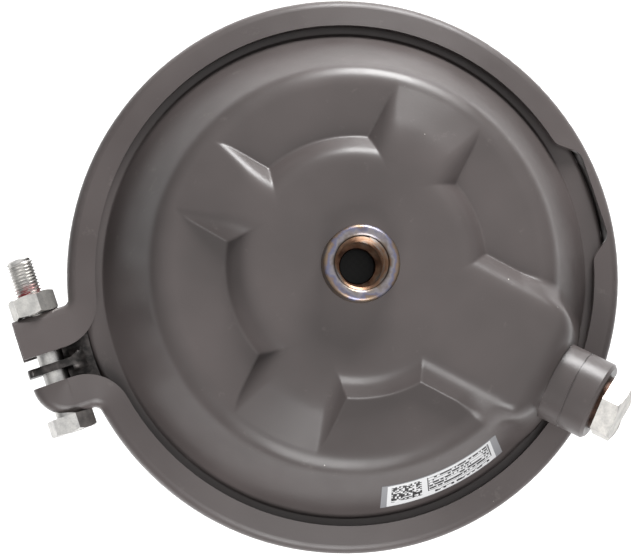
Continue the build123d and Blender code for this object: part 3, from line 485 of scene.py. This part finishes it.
def heat_tint():
    """Bare turned steel after brazing: silvery grey, with straw, brown, purple and blue oxide bands
    that wander round the ring, and a brown bore."""
    material, tree, shader = finish_of("heat tinted steel", 0.37, metallic=1.0)
    place = step(tree, "ShaderNodeTexCoord")
    apart = step(tree, "ShaderNodeSeparateXYZ", None, {"Vector": place.outputs["Object"]})
    flat = step(tree, "ShaderNodeCombineXYZ", None, {
        "X": apart.outputs["X"], "Y": apart.outputs["Y"],
    })
    radius = step(tree, "ShaderNodeVectorMath", {"operation": "LENGTH"}, {0: flat.outputs[0]})
    wander = step(tree, "ShaderNodeMath", {"operation": "ADD"}, {
        0: radius.outputs["Value"],
        1: blotches(tree, TINT_WANDER_MM, low=0.3, high=0.7, most=TINT_DRIFT),
    })
    tint = step(tree, "ShaderNodeMapRange", None, {
        "Value": wander.outputs[0], "From Min": TINT_IN_R, "From Max": TINT_OUT_R,
    })
    bands = step(tree, "ShaderNodeValToRGB", None, {"Fac": tint.outputs["Result"]})
    ramp = bands.color_ramp
    while len(ramp.elements) < len(TINT_BANDS):
        ramp.elements.new(0.5)
    for element, (place_on_ramp, colour) in zip(ramp.elements, TINT_BANDS):
        element.position = place_on_ramp
        element.color = paint(colour)
    sooty = stained(tree, bands.outputs["Color"], paint(SOOT_COLOUR), SOOT_MM, low=0.5, high=0.75,
                    detail=5.0, most=SOOT_MOST)
    tree.links.new(sooty, shader.inputs["Base Color"])
    surface_grain(tree, shader, size_mm=0.7, depth_mm=0.02)
    return material


ring_mesh = bmesh.new()
round_foot = RING_TOP - RING_ROUND
rim = [
    (RING_R - RING_ROUND * (1 - sin(radians(a))), round_foot + RING_ROUND * cos(radians(a)))
    for a in range(0, 91, 15)
]
lathe(ring_mesh, [
    (RING_R, RING_FOOT),
    *reversed(rim),
    (RING_MOUTH_R + RING_LIP, RING_TOP),
    (RING_MOUTH_R, RING_TOP - RING_LEAD / 2),
    (RING_ROOT_R, RING_TOP - RING_LEAD),
    (RING_ROOT_R, RING_THREAD_FOOT),
    (RING_STEP_R + RING_STEP_EDGE, RING_THREAD_FOOT),
    (RING_STEP_R, RING_THREAD_FOOT - RING_STEP_EDGE),
    (RING_STEP_R, RING_FOOT),
])
thread_ridge(ring_mesh, RING_ROOT_R + RIDGE_SINK, RING_CREST_R, M16_PITCH,
             RING_THREAD_FOOT + RING_RIDGE_LOW, RING_TOP - RING_RIDGE_HIGH)
port_ring = piece("threaded_port_ring", ring_mesh, heat_tint())
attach(port_ring, "housing")
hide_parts("air_port_ring")

# ---- side port plug and its seal ----
# A zinc plated hexagon plug closes the second port, on a soft copper washer. The plating is bright but
# grainy, as barrel plating leaves it, with grey handling marks.
ZINC_CLOUD_MM = 3.5
ZINC_GRIT_MM = 0.5
ZINC_GRIT_MOST = 0.25
ZINC_GRIT_COLOUR = "#8f8f90"


def zinc(name, bright, dull, roughness=0.36):
    """Barrel plated zinc: pale, grainy metal with cloudy grey marks."""
    material, tree, shader = finish_of(name, roughness, metallic=1.0)
    colour = stained(tree, paint(bright), paint(dull), ZINC_CLOUD_MM, low=0.4, high=0.72, detail=4.0)
    colour = stained(tree, colour, paint(ZINC_GRIT_COLOUR), ZINC_GRIT_MM, low=0.35, high=0.7,
                     most=ZINC_GRIT_MOST)
    tree.links.new(colour, shader.inputs["Base Color"])
    surface_grain(tree, shader, size_mm=0.45, depth_mm=0.02)
    return material


CORNER_CUTS = 7
CORNER_FROM = 0.49  # the corners are turned down beyond this share of the width across flats
CORNER_LEAN = radians(30)
SAME_HEIGHT = 1e-6


def hexagon_head(mesh, across, low, high, turn, chamfer_low=False):
    """Makes a hexagon prism about the Z axis, in an empty mesh, with its corners turned down at the
    top, or at both ends."""
    corner = across / 3 ** 0.5
    lift = Matrix.Translation((0, 0, (low + high) / 2))
    bmesh.ops.create_cone(mesh, cap_ends=True, segments=6, radius1=corner, radius2=corner,
                          depth=high - low, matrix=lift @ Matrix.Rotation(turn, 4, "Z"))
    rims = [e for e in mesh.edges if abs(e.verts[0].co.z - e.verts[1].co.z) < SAME_HEIGHT]
    bmesh.ops.subdivide_edges(mesh, edges=rims, cuts=CORNER_CUTS)
    for v in mesh.verts:
        over = max(v.co.xy.length - across * CORNER_FROM, 0.0) * tan(CORNER_LEAN)
        if abs(v.co.z - high) < SAME_HEIGHT:
            v.co.z -= over
        elif chamfer_low:
            v.co.z += over


PLUG_ACROSS = 0.018
PLUG_HEAD = 0.0062
PLUG_SHANK = 0.010
PORT_CORE = 0.0072
PLUG_SEAT_MM = 16.4
SHANK_SINK = 0.0002  # a shank starts this far inside its head


def at_port(beyond_mm):
    """Places a piece made about the Z axis on the side port's axis, beyond the bulge's end."""
    out = Vector((cos(BULGE_AZ) * cos(BULGE_CLIMB), sin(BULGE_AZ) * cos(BULGE_CLIMB), sin(BULGE_CLIMB)))
    across = Vector((-sin(BULGE_AZ), cos(BULGE_AZ), 0))
    face = Vector((
        BULGE_FACE_R * cos(BULGE_AZ), BULGE_FACE_R * sin(BULGE_AZ), CLAMP_Z_MM + BULGE_FACE_H,
    ))
    turned = Matrix((across, out.cross(across), out)).transposed().to_4x4()
    return Matrix.Translation((face + out * beyond_mm) / 1000) @ turned


plug_zinc = zinc("bright zinc on the plug", "#d2cfca", "#b0aeab", roughness=0.54)
plug_mesh = bmesh.new()
hexagon_head(plug_mesh, PLUG_ACROSS, 0, PLUG_HEAD, turn=0)
lathe(plug_mesh, [
    (0, SHANK_SINK), (PORT_CORE, SHANK_SINK), (PORT_CORE, -PLUG_SHANK), (0, -PLUG_SHANK),
], closed=False)
bmesh.ops.transform(plug_mesh, matrix=at_port(PLUG_SEAT_MM), verts=plug_mesh.verts)
plug = piece("hexagon_port_plug", plug_mesh, plug_zinc)
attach(plug, "housing")
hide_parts("side_port_plug")
# Soft copper that has darkened: a dull brown metal.
copper, tree, shader = finish_of("soft copper washer", 0.4, metallic=1.0)
colour = stained(tree, paint("#4a372f"), paint("#2c2522"), size_mm=2.0, low=0.35, high=0.7)
tree.links.new(colour, shader.inputs["Base Color"])
surface_grain(tree, shader, size_mm=0.5, depth_mm=0.01)
coat_node("plug_seal", copper)

# ---- label ----
# A thin silver-white film label bonded on the cone wall. Its print is a block of square cells, ruled
# rows and rows of short dashes, with nothing to read; a clear laminate stands a little past the print
# at both ends.
LABEL_AZ = radians(277.6 - 360)
LABEL_R_MM = 70.0
LABEL_LOW_Z = 0.0836
PRINTED = (1.9, 38.4, 0.25, 12.6)  # left, right, low and high edge of the printed area, in millimetres
CODE_CELL_MM = 0.62
DASH_MM = 0.52
WORD_MM = 4.3
FOOT_DASH_MM = 0.9
ROW_MM = 1.55
ROWS_FROM = 3.6
RULES_FROM = 3.2
RULE_INK = 0.9
CLEAR_COLOUR = "#8f8f92"
FILM_COLOUR = "#e2e2e3"
INK_COLOUR = "#2c2b2d"


def printed_film():
    """White film under a clear laminate: smooth and semi-gloss, with crisp near-black print."""
    material, tree, shader = finish_of("printed label film", 0.42)
    place = step(tree, "ShaderNodeTexCoord")
    apart = step(tree, "ShaderNodeSeparateXYZ", None, {"Vector": place.outputs["Object"]})
    turn = step(tree, "ShaderNodeMath", {"operation": "ARCTAN2"}, {
        0: apart.outputs["Y"], 1: apart.outputs["X"],
    })
    bend = step(tree, "ShaderNodeMath", {"operation": "SUBTRACT"}, {0: turn.outputs[0], 1: LABEL_AZ})
    climb = step(tree, "ShaderNodeMath", {"operation": "SUBTRACT"}, {
        0: apart.outputs["Z"], 1: LABEL_LOW_Z,
    })
    along = step(tree, "ShaderNodeMath", {"operation": "MULTIPLY"}, {
        0: bend.outputs[0], 1: LABEL_R_MM,
    }).outputs[0]
    up = step(tree, "ShaderNodeMath", {"operation": "MULTIPLY"}, {
        0: climb.outputs[0], 1: 1000 / sin(WALL_LEAN),
    }).outputs[0]

    def block(left, right, low, high, *print_in_it):
        """Ink in a rectangle of the label, in millimetres from its lower left corner: all of it, or
        only where everything printed in it has ink."""
        limits = (
            ("GREATER_THAN", along, left), ("LESS_THAN", along, right),
            ("GREATER_THAN", up, low), ("LESS_THAN", up, high),
        )
        inside = [
            step(tree, "ShaderNodeMath", {"operation": side}, {0: at, 1: limit}).outputs[0]
            for side, at, limit in limits
        ]
        ink = 1.0
        for part in (*inside, *print_in_it):
            ink = step(tree, "ShaderNodeMath", {"operation": "MULTIPLY"}, {
                0: ink, 1: part,
            }).outputs[0]
        return ink

    def cells(width, height, bare, draw, foot=0.0):
        """Ink in the cells of a grid that starts at a height, except in a share that is left bare."""
        place_on_label = step(tree, "ShaderNodeCombineXYZ", None, {"X": along, "Y": up})
        from_foot = step(tree, "ShaderNodeVectorMath", {"operation": "ADD"}, {
            0: place_on_label.outputs[0], 1: (0, -foot, draw),
        })
        in_cells = step(tree, "ShaderNodeVectorMath", {"operation": "DIVIDE"}, {
            0: from_foot.outputs[0], 1: (width, height, 1),
        })
        cell = step(tree, "ShaderNodeVectorMath", {"operation": "FLOOR"}, {0: in_cells.outputs[0]})
        chance = step(tree, "ShaderNodeTexWhiteNoise", {"noise_dimensions": "3D"}, {
            "Vector": cell.outputs[0],
        })
        return step(tree, "ShaderNodeMath", {"operation": "GREATER_THAN"}, {
            0: chance.outputs["Value"], 1: bare,
        }).outputs[0]

    def bars(foot, low, high):
        """Ink in a part of each row, between two shares of its height."""
        from_foot = step(tree, "ShaderNodeMath", {"operation": "SUBTRACT"}, {0: up, 1: foot})
        rows = step(tree, "ShaderNodeMath", {"operation": "DIVIDE"}, {
            0: from_foot.outputs[0], 1: ROW_MM,
        })
        part = step(tree, "ShaderNodeMath", {"operation": "FRACT"}, {0: rows.outputs[0]})
        over = step(tree, "ShaderNodeMath", {"operation": "GREATER_THAN"}, {0: part.outputs[0], 1: low})
        under = step(tree, "ShaderNodeMath", {"operation": "LESS_THAN"}, {0: part.outputs[0], 1: high})
        return step(tree, "ShaderNodeMath", {"operation": "MULTIPLY"}, {
            0: over.outputs[0], 1: under.outputs[0],
        }).outputs[0]

    code = block(3.2, 13.0, 2.2, 11.4, cells(CODE_CELL_MM, CODE_CELL_MM, bare=0.4, draw=3))
    words = block(
        15.4, 36.6, 3.8, 11.3,
        cells(DASH_MM, ROW_MM, bare=0.25, draw=11, foot=ROWS_FROM),
        cells(WORD_MM, ROW_MM, bare=0.15, draw=17, foot=ROWS_FROM),
        bars(ROWS_FROM, 0.22, 0.82),
    )
    foot_line = block(17.0, 36.0, 1.2, 2.3, cells(FOOT_DASH_MM, 1.0, bare=0.35, draw=23))
    rules = block(15.0, 37.2, 3.1, 11.8, bars(RULES_FROM, 0.0, 0.16), RULE_INK)
    left_rule = block(14.9, 15.25, 3.1, 11.6)
    right_rule = block(36.9, 37.25, 3.1, 11.6)
    ink = 0.0
    for marks in (code, words, foot_line, rules, left_rule, right_rule):
        ink = step(tree, "ShaderNodeMath", {"operation": "ADD", "use_clamp": True}, {
            0: ink, 1: marks,
        }).outputs[0]
    film = step(tree, "ShaderNodeMix", {"data_type": "RGBA"}, {
        SHARE: block(*PRINTED), UNDER: paint(CLEAR_COLOUR), OVER: paint(FILM_COLOUR),
    })
    inked = step(tree, "ShaderNodeMix", {"data_type": "RGBA"}, {
        SHARE: ink, UNDER: film.outputs[BLENDED], OVER: paint(INK_COLOUR),
    })
    tree.links.new(inked.outputs[BLENDED], shader.inputs["Base Color"])
    surface_grain(tree, shader, size_mm=1.6, depth_mm=0.01)
    return material


coat_node("label_plate", printed_film())

# ---- clamp ring ----
# Two flanks and a web, rolled to a ring from one strip and bent out to two ears at the gap. It has the
# same black dip coat as the cap, a touch browner and duller, rubbed pale where it was handled and
# hammered on.
clamp_coat = dip_coat("black dip coat on the clamp", "#534c4b", "#5d5655", 0.38, 0.05)
coat_node("clamp_ring", clamp_coat)

# ---- clamp bolt, nut and spacer ----
# M8 bolt and nut in bright zinc, with a red trace of thread lock where the thread enters the nut. The
# spacer that keeps the ears apart is a plain blackened steel plate.
BOLT_GAP_AZ = radians(198.4)
BOLT_R_OUT = 0.0944
BOLT_Z = 0.075
BOLT_HEAD_Y = 0.0143
BOLT_TIP_Y = -0.036
BOLT_R = 0.004
BOLT_ROOT_R = 0.00345
BOLT_SHOULDER = 0.0005
BOLT_CHAMFER = 0.0004
BOLT_RIDGE_LOW = 0.0009
BOLT_RIDGE_HIGH = 0.0002
M8_PITCH = 0.001  # drawn a little finer than the real one
THREAD_END_Y = -0.0085
M8_ACROSS = 0.013
M8_HEAD = 0.0053
M8_TURN = radians(-13)
NUT_FACE_Y = -0.0246
M8_NUT = 0.0065
LOCK_COLOUR = "#b0585c"
LOCK_MM = 2.0
LOCK_FADES_AT = 0.0035
LOCK_FULL_AT = 0.0005
LOCK_INTO_NUT = 0.001


def locked_zinc():
    """The bolt's bright zinc, with a patchy red trace of thread lock that fades out along the thread."""
    material = zinc("bright zinc on the bolt", "#d9d7d3", "#aeadac")
    tree = material.node_tree
    shader = tree.nodes["Principled BSDF"]
    plating = shader.inputs["Base Color"].links[0].from_socket
    place = step(tree, "ShaderNodeTexCoord")
    along = step(tree, "ShaderNodeVectorMath", {"operation": "DOT_PRODUCT"}, {
        0: place.outputs["Object"], 1: (-sin(BOLT_GAP_AZ), cos(BOLT_GAP_AZ), 0),
    }).outputs["Value"]
    fading = step(tree, "ShaderNodeMapRange", None, {
        "Value": along, "From Min": NUT_FACE_Y - LOCK_FADES_AT, "From Max": NUT_FACE_Y - LOCK_FULL_AT,
    })
    patchy = step(tree, "ShaderNodeMath", {"operation": "MULTIPLY"}, {
        0: fading.outputs["Result"], 1: blotches(tree, LOCK_MM, low=0.42, high=0.6),
    })
    outside_nut = step(tree, "ShaderNodeMath", {"operation": "LESS_THAN"}, {
        0: along, 1: NUT_FACE_Y + LOCK_INTO_NUT,
    })
    trace = step(tree, "ShaderNodeMath", {"operation": "MULTIPLY"}, {
        0: patchy.outputs[0], 1: outside_nut.outputs[0],
    })
    locked = step(tree, "ShaderNodeMix", {"data_type": "RGBA"}, {
        SHARE: trace.outputs[0], UNDER: plating, OVER: paint(LOCK_COLOUR),
    })
    tree.links.new(locked.outputs[BLENDED], shader.inputs["Base Color"])
    return material


def to_gap():
    """Moves a piece made about the Z axis onto the bolt's axis, its +Z towards the bolt's head."""
    lie = Matrix.Rotation(radians(-90), 4, "X")
    out = Matrix.Translation((BOLT_R_OUT, 0, 0)) @ lie
    return Matrix.Translation((0, 0, BOLT_Z)) @ Matrix.Rotation(BOLT_GAP_AZ, 4, "Z") @ out


bolt_mesh = bmesh.new()
hexagon_head(bolt_mesh, M8_ACROSS, BOLT_HEAD_Y, BOLT_HEAD_Y + M8_HEAD, M8_TURN)
lathe(bolt_mesh, [
    (0, BOLT_HEAD_Y + SHANK_SINK),
    (BOLT_R, BOLT_HEAD_Y + SHANK_SINK),
    (BOLT_R, THREAD_END_Y),
    (BOLT_ROOT_R, THREAD_END_Y - BOLT_SHOULDER),
    (BOLT_ROOT_R, BOLT_TIP_Y + BOLT_CHAMFER),
    (BOLT_ROOT_R - BOLT_CHAMFER, BOLT_TIP_Y),
    (0, BOLT_TIP_Y),
], closed=False)
thread_ridge(bolt_mesh, BOLT_ROOT_R - RIDGE_SINK, BOLT_R, M8_PITCH,
             BOLT_TIP_Y + BOLT_RIDGE_LOW, THREAD_END_Y - BOLT_RIDGE_HIGH)
bmesh.ops.transform(bolt_mesh, matrix=to_gap(), verts=bolt_mesh.verts)
bolt = piece("threaded_clamp_bolt", bolt_mesh, locked_zinc())
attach(bolt, "housing")
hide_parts("clamp_bolt")
nut_zinc = zinc("bright zinc on the nut", "#d8d6d1", "#b4b3b0", roughness=0.44)
nut_mesh = bmesh.new()
hexagon_head(nut_mesh, M8_ACROSS, NUT_FACE_Y, NUT_FACE_Y + M8_NUT, M8_TURN, chamfer_low=True)
bmesh.ops.transform(nut_mesh, matrix=to_gap(), verts=nut_mesh.verts)
nut = piece("clamp_hexagon_nut", nut_mesh, nut_zinc)
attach(nut, "housing")
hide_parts("clamp_nut")
# Blackened steel: dark and satin, worn to grey where it was handled.
black_plate, tree, shader = finish_of("blackened steel spacer", 0.4, metallic=0.6)
colour = stained(tree, paint("#262423"), paint("#5a5553"), size_mm=2.5, low=0.4, high=0.75, detail=5.0)
tree.links.new(colour, shader.inputs["Base Color"])
surface_grain(tree, shader, size_mm=0.8, depth_mm=0.03)
# Radii of the foot's two rims, in the frame and as drawn here, where they reach the flange and the bolt.
SPACER_FOOT = ((0.0825, 0.0819), (0.0898, 0.0906))
ON_RIM = 0.0002
spacer_mesh = bmesh.new()
spacer_mesh.from_mesh(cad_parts["gap_insert"].data)
bmesh.ops.remove_doubles(spacer_mesh, verts=spacer_mesh.verts, dist=1e-6)
for v in spacer_mesh.verts:
    for framed, snug in SPACER_FOOT:
        if abs(v.co.xy.length - framed) < ON_RIM:
            v.co.xy *= snug / framed
spacer = piece("ear_spacer", spacer_mesh, black_plate)
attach(spacer, "housing")
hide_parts("gap_insert")

# ---- non-pressure housing and stud plate ----
# The cup below the clamp: drawn from the same sheet and dip coated like the cap. A ring plate inside
# carries the two mounting studs.
cup_coat = dip_coat("black dip coat on the cup", "#504a49", "#5a5453", 0.38, 0.06)
for node in ("non_pressure_housing", "stud_plate"):
    coat_node(node, cup_coat)

# ---- mounting studs ----
# M16 x 1.5 studs, zinc plated, pressed through the plate and the cup: a round head inside, a plain neck
# in the plate, and the rest threaded for the vehicle's nuts.
STUD_X = 0.060325
STUD_TIP = -0.036
STUD_NECK_R = 0.0086
STUD_R = 0.008
STUD_ROOT_R = 0.00715
STUD_HEAD_R = 0.010
STUD_HEAD_FOOT = 0.0066
STUD_HEAD_TOP = 0.0116
M16_CHAMFER = 0.0008
M16_RUN_OUT = 0.0012
stud_zinc = zinc("zinc on the studs", "#dedcd6", "#b9b8b5")


def studs():
    """Both studs, one copy of the other."""
    mesh = bmesh.new()
    lathe(mesh, [
        (0, STUD_HEAD_TOP),
        (STUD_HEAD_R - M16_CHAMFER, STUD_HEAD_TOP),
        (STUD_HEAD_R, STUD_HEAD_TOP - M16_CHAMFER),
        (STUD_HEAD_R, STUD_HEAD_FOOT),
        (STUD_NECK_R, STUD_HEAD_FOOT),
        (STUD_NECK_R, 0),
        (STUD_ROOT_R, -M16_RUN_OUT),
        (STUD_ROOT_R, STUD_TIP + M16_CHAMFER),
        (STUD_ROOT_R - M16_CHAMFER, STUD_TIP),
        (0, STUD_TIP),
    ], closed=False)
    thread_ridge(mesh, STUD_ROOT_R - RIDGE_SINK, STUD_R, M16_PITCH,
                 STUD_TIP + M16_RUN_OUT, -M16_RUN_OUT)
    first = list(mesh.verts) + list(mesh.edges) + list(mesh.faces)
    bmesh.ops.translate(mesh, vec=(STUD_X, 0, 0), verts=mesh.verts)
    second = bmesh.ops.duplicate(mesh, geom=first)["geom"]
    moved = [v for v in second if isinstance(v, bmesh.types.BMVert)]
    bmesh.ops.translate(mesh, vec=(-2 * STUD_X, 0, 0), verts=moved)
    return mesh


stud_pair = piece("threaded_mounting_studs", studs(), stud_zinc)
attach(stud_pair, "housing")
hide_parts("mounting_studs")

# ---- dust seal ----
# Moulded black rubber, snapped into the rod hole, with a lip that lets the rod swing. The moulding
# leaves it dull and deep grey-black, a little cloudy.
seal_rubber, tree, shader = finish_of("moulded seal rubber", 0.62)
colour = stained(tree, paint("#2b2a2a"), paint("#3b3938"), size_mm=6.0, low=0.35, high=0.7)
tree.links.new(colour, shader.inputs["Base Color"])
surface_grain(tree, shader, size_mm=0.6, depth_mm=0.03)
coat_node("dust_seal", seal_rubber)

# ---- diaphragm ----
# Fabric reinforced rubber, moulded to a cup and pinched at its rim between the flanges. It is drawn at
# rest, lying against the cap; the real wall rolls over as the push plate goes down. The cloth shows
# through the rubber as a faint check.
CLOTH_MM = 1.2
skin_rubber, tree, shader = finish_of("diaphragm rubber", 0.6)
place = step(tree, "ShaderNodeTexCoord")
weave = step(tree, "ShaderNodeTexChecker", None, {
    "Vector": place.outputs["Object"],
    "Scale": per_metre(CLOTH_MM),
    "Color1": paint("#272626"),
    "Color2": paint("#2b2a29"),
})
tree.links.new(weave.outputs["Color"], shader.inputs["Base Color"])
surface_grain(tree, shader, size_mm=0.8, depth_mm=0.03)
# The face towards the cap, from the middle out to the rim, and the face towards the rod back again.
SKIN_OUTLINE = (
    (0, 0.1029), (0.0480, 0.1029), (0.0525, 0.1020), (0.0558, 0.0995), (0.0618, 0.0890),
    (0.0672, 0.0793), (0.0688, 0.0773), (0.0712, 0.0765), (0.0812, 0.0765),
    (0.0812, 0.0735), (0.0712, 0.0735), (0.0672, 0.0745), (0.0645, 0.0772), (0.0587, 0.0876),
    (0.0532, 0.0974), (0.0510, 0.0990), (0.0480, 0.0997), (0, 0.0997),
)
STEEP_EDGE = 0.003
skin_mesh = bmesh.new()
lathe(skin_mesh, SKIN_OUTLINE, closed=False)
steep = [e for e in skin_mesh.edges if abs(e.verts[0].co.z - e.verts[1].co.z) > STEEP_EDGE]
bmesh.ops.subdivide_edges(skin_mesh, edges=steep, cuts=2, use_grid_fill=True)
skin = piece("diaphragm_skin", skin_mesh, skin_rubber)
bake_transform(skin)
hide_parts("diaphragm")

# ---- push plate and push rod ----
# A dished steel plate riveted on the rod's spigot, both zinc plated. The rod's lower end has the
# M16 x 1.5 thread that the yoke and its lock nut are screwed on.
ROD_TOP = 0.0994
ROD_PLATE = 0.0954
ROD_RIVET = 0.0980
ROD_R = 0.008
RIVET_R = 0.0095
SPIGOT_R = 0.006
ROD_FOOT = -0.098
ROD_THREAD_TOP = -0.040
rod_zinc = zinc("zinc on the rod", "#d8d6d1", "#b4b3b1", roughness=0.34)
coat_node("push_plate", rod_zinc)
rod_mesh = bmesh.new()
lathe(rod_mesh, [
    (0, ROD_TOP),
    (RIVET_R, ROD_TOP),
    (RIVET_R, ROD_RIVET),
    (SPIGOT_R, ROD_RIVET),
    (SPIGOT_R, ROD_PLATE),
    (ROD_R, ROD_PLATE),
    (ROD_R, ROD_THREAD_TOP),
    (STUD_ROOT_R, ROD_THREAD_TOP - M16_CHAMFER),
    (STUD_ROOT_R, ROD_FOOT + M16_CHAMFER),
    (STUD_ROOT_R - M16_CHAMFER, ROD_FOOT),
    (0, ROD_FOOT),
], closed=False)
thread_ridge(rod_mesh, STUD_ROOT_R - RIDGE_SINK, ROD_R, M16_PITCH,
             ROD_FOOT + M16_RUN_OUT, ROD_THREAD_TOP - M16_CHAMFER / 2)
rod = piece("threaded_push_rod", rod_mesh, rod_zinc)
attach(rod, "rod")
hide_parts("push_rod")

# ---- return spring ----
# Conical compression spring in hard drawn wire, drawn at one length; the real coils nest as the rod
# goes out. The wire's black coat is satin and even, a little cloudy where it is thin.
spring_coat, tree, shader = finish_of("black coated spring wire", 0.4, metallic=0.3)
colour = stained(tree, paint("#2e2d30"), paint("#454347"), size_mm=5.0, low=0.35, high=0.7)
tree.links.new(colour, shader.inputs["Base Color"])
surface_grain(tree, shader, size_mm=0.7, depth_mm=0.01)
spring_mesh = bmesh.new()
spring_mesh.from_mesh(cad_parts["return_spring"].data)
bmesh.ops.remove_doubles(spring_mesh, verts=spring_mesh.verts, dist=1e-6)
spring = piece("conical_return_spring", spring_mesh, spring_coat)
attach(spring, "housing")
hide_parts("return_spring")
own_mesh(spring)

# ---- yoke, lock nut and pin ----
# Forged steel yoke with a milled slot, yellow passivated zinc. The lock nut, the headed pin, its washer
# and its split pin are plain bright zinc. The yellow film is straw coloured, with pale brown patches.
yoke_coat, tree, shader = finish_of("yellow passivated zinc", 0.38, metallic=1.0)
tint = stained(tree, paint("#c9b777"), paint("#b7a47f"), size_mm=9.0, low=0.35, high=0.68)
tint = stained(tree, tint, paint("#a7907f"), size_mm=4.0, low=0.6, high=0.8, detail=5.0)
tree.links.new(tint, shader.inputs["Base Color"])
surface_grain(tree, shader, size_mm=0.8, depth_mm=0.03)
coat_node("clevis", yoke_coat)
pin_zinc = zinc("bright zinc on the pin", "#dddbd6", "#b5b4b2", roughness=0.33)
for node in ("rod_lock_nut", "clevis_pin", "pin_washer", "split_pin"):
    coat_node(node, pin_zinc)

# ---- stage ----
# A plain pale floor that the yoke just reaches at its full stroke, since the studs hold the chamber,
# with soft studio lamps, and the camera nearly over the chamber's axis.
FLOOR_Z = -0.1965
FLOOR_SIZE = 4.0
FLOOR_SEEN = "#e7e7e7"
FLOOR_LIT = "#7c7c7c"  # for all other rays, so that the floor throws little light up
FLOOR_GLOW = 0.4
SKY_TOP = 1.0
SKY_HORIZON = 0.35
SKY_LIGHT = 0.22
HORIZON_AT = 0.1
SKY_TOP_AT = 0.85
WHITE = paint("#ffffff")
CLAMP_MID = Vector((0, 0, 0.075))
LEAN = radians(7.92)
LEAN_TOWARDS = radians(38.6)
CAMERA_BACK = 0.900
SENSOR_MM = 36
PIXELS_PER_WIDTH = 631
FOCAL_PIXELS = 2893.0
OFF_CENTRE = Vector((0.00896, 0.00112, 0))


def seen_by(tree, rays):
    """1 for rays that show the backdrop, straight on or in a shiny or clear surface, and 0 for those
    that gather its light."""
    straight = step(tree, "ShaderNodeMath", {"operation": "MAXIMUM"}, {
        0: rays.outputs["Is Camera Ray"], 1: rays.outputs["Is Glossy Ray"],
    })
    return step(tree, "ShaderNodeMath", {"operation": "MAXIMUM"}, {
        0: straight.outputs[0], 1: rays.outputs["Is Transmission Ray"],
    }).outputs[0]


floor_paint, tree, shader = finish_of("white floor", 0.9, Specular_IOR_Level=0.1)
seen = seen_by(tree, step(tree, "ShaderNodeLightPath"))
floor_colour = step(tree, "ShaderNodeMix", {"data_type": "RGBA"}, {
    SHARE: seen, UNDER: paint(FLOOR_LIT), OVER: paint(FLOOR_SEEN),
})
floor_glow = step(tree, "ShaderNodeMath", {"operation": "MULTIPLY"}, {0: seen, 1: FLOOR_GLOW})
tree.links.new(floor_colour.outputs[BLENDED], shader.inputs["Base Color"])
tree.links.new(floor_glow.outputs[0], shader.inputs["Emission Strength"])
shader.inputs["Emission Color"].default_value = WHITE
floor_mesh = bmesh.new()
bmesh.ops.create_grid(floor_mesh, x_segments=1, y_segments=1, size=FLOOR_SIZE,
                      matrix=Matrix.Translation((0, 0, FLOOR_Z)))
floor = piece("floor", floor_mesh, floor_paint, smooth=False)

studio = bpy.data.worlds.new("studio")
bpy.context.scene.world = studio
studio.use_nodes = True
tree = studio.node_tree
background = tree.nodes["Background"]
rays = step(tree, "ShaderNodeLightPath")
seen = seen_by(tree, rays)
heading = step(tree, "ShaderNodeSeparateXYZ", None, {
    "Vector": step(tree, "ShaderNodeTexCoord").outputs["Generated"],
})
horizon = step(tree, "ShaderNodeMath", {"operation": "MULTIPLY_ADD"}, {
    0: rays.outputs["Is Camera Ray"], 1: SKY_TOP - SKY_HORIZON, 2: SKY_HORIZON,
})
sky = step(tree, "ShaderNodeMapRange", None, {
    "Value": heading.outputs["Z"],
    "From Min": HORIZON_AT,
    "From Max": SKY_TOP_AT,
    "To Min": horizon.outputs[0],
    "To Max": SKY_TOP,
})
level = step(tree, "ShaderNodeMapRange", None, {
    "Value": seen,
    "To Min": SKY_LIGHT,
    "To Max": sky.outputs["Result"],
})
tree.links.new(level.outputs["Result"], background.inputs["Strength"])
background.inputs["Color"].default_value = WHITE


def softbox(name, azimuth, elevation, distance, size, watts):
    """A square lamp that faces the clamp's centre; its direction is in degrees."""
    lamp = bpy.data.lights.new(name, "AREA")
    lamp.shape = "SQUARE"
    lamp.size = size
    lamp.energy = watts
    made = bpy.data.objects.new(name, lamp)
    bpy.context.scene.collection.objects.link(made)
    a = radians(azimuth)
    e = radians(elevation)
    away = Vector((cos(a) * cos(e), sin(a) * cos(e), sin(e)))
    aim = away.to_track_quat("Z", "Y").to_matrix().to_4x4()
    made.matrix_world = Matrix.Translation(CLAMP_MID + away * distance) @ aim


softbox("far_softbox", azimuth=75, elevation=16, distance=1.3, size=0.6, watts=28)
softbox("near_softbox", azimuth=268, elevation=32, distance=1.3, size=0.8, watts=17)

lean_axis = Vector((-sin(LEAN_TOWARDS), cos(LEAN_TOWARDS), 0))
turned = Matrix.Rotation(-LEAN, 3, lean_axis)
camera = bpy.data.cameras.new("camera")
camera.sensor_width = SENSOR_MM
camera.lens = FOCAL_PIXELS / PIXELS_PER_WIDTH * camera.sensor_width
camera_object = bpy.data.objects.new("camera", camera)
bpy.context.scene.collection.objects.link(camera_object)
eye = turned @ (Vector((0, 0, CAMERA_BACK)) - OFF_CENTRE) + CLAMP_MID
camera_object.matrix_world = Matrix.Translation(eye) @ turned.to_4x4()
bpy.context.scene.camera = camera_object
bpy.context.scene.view_settings.view_transform = "Standard"
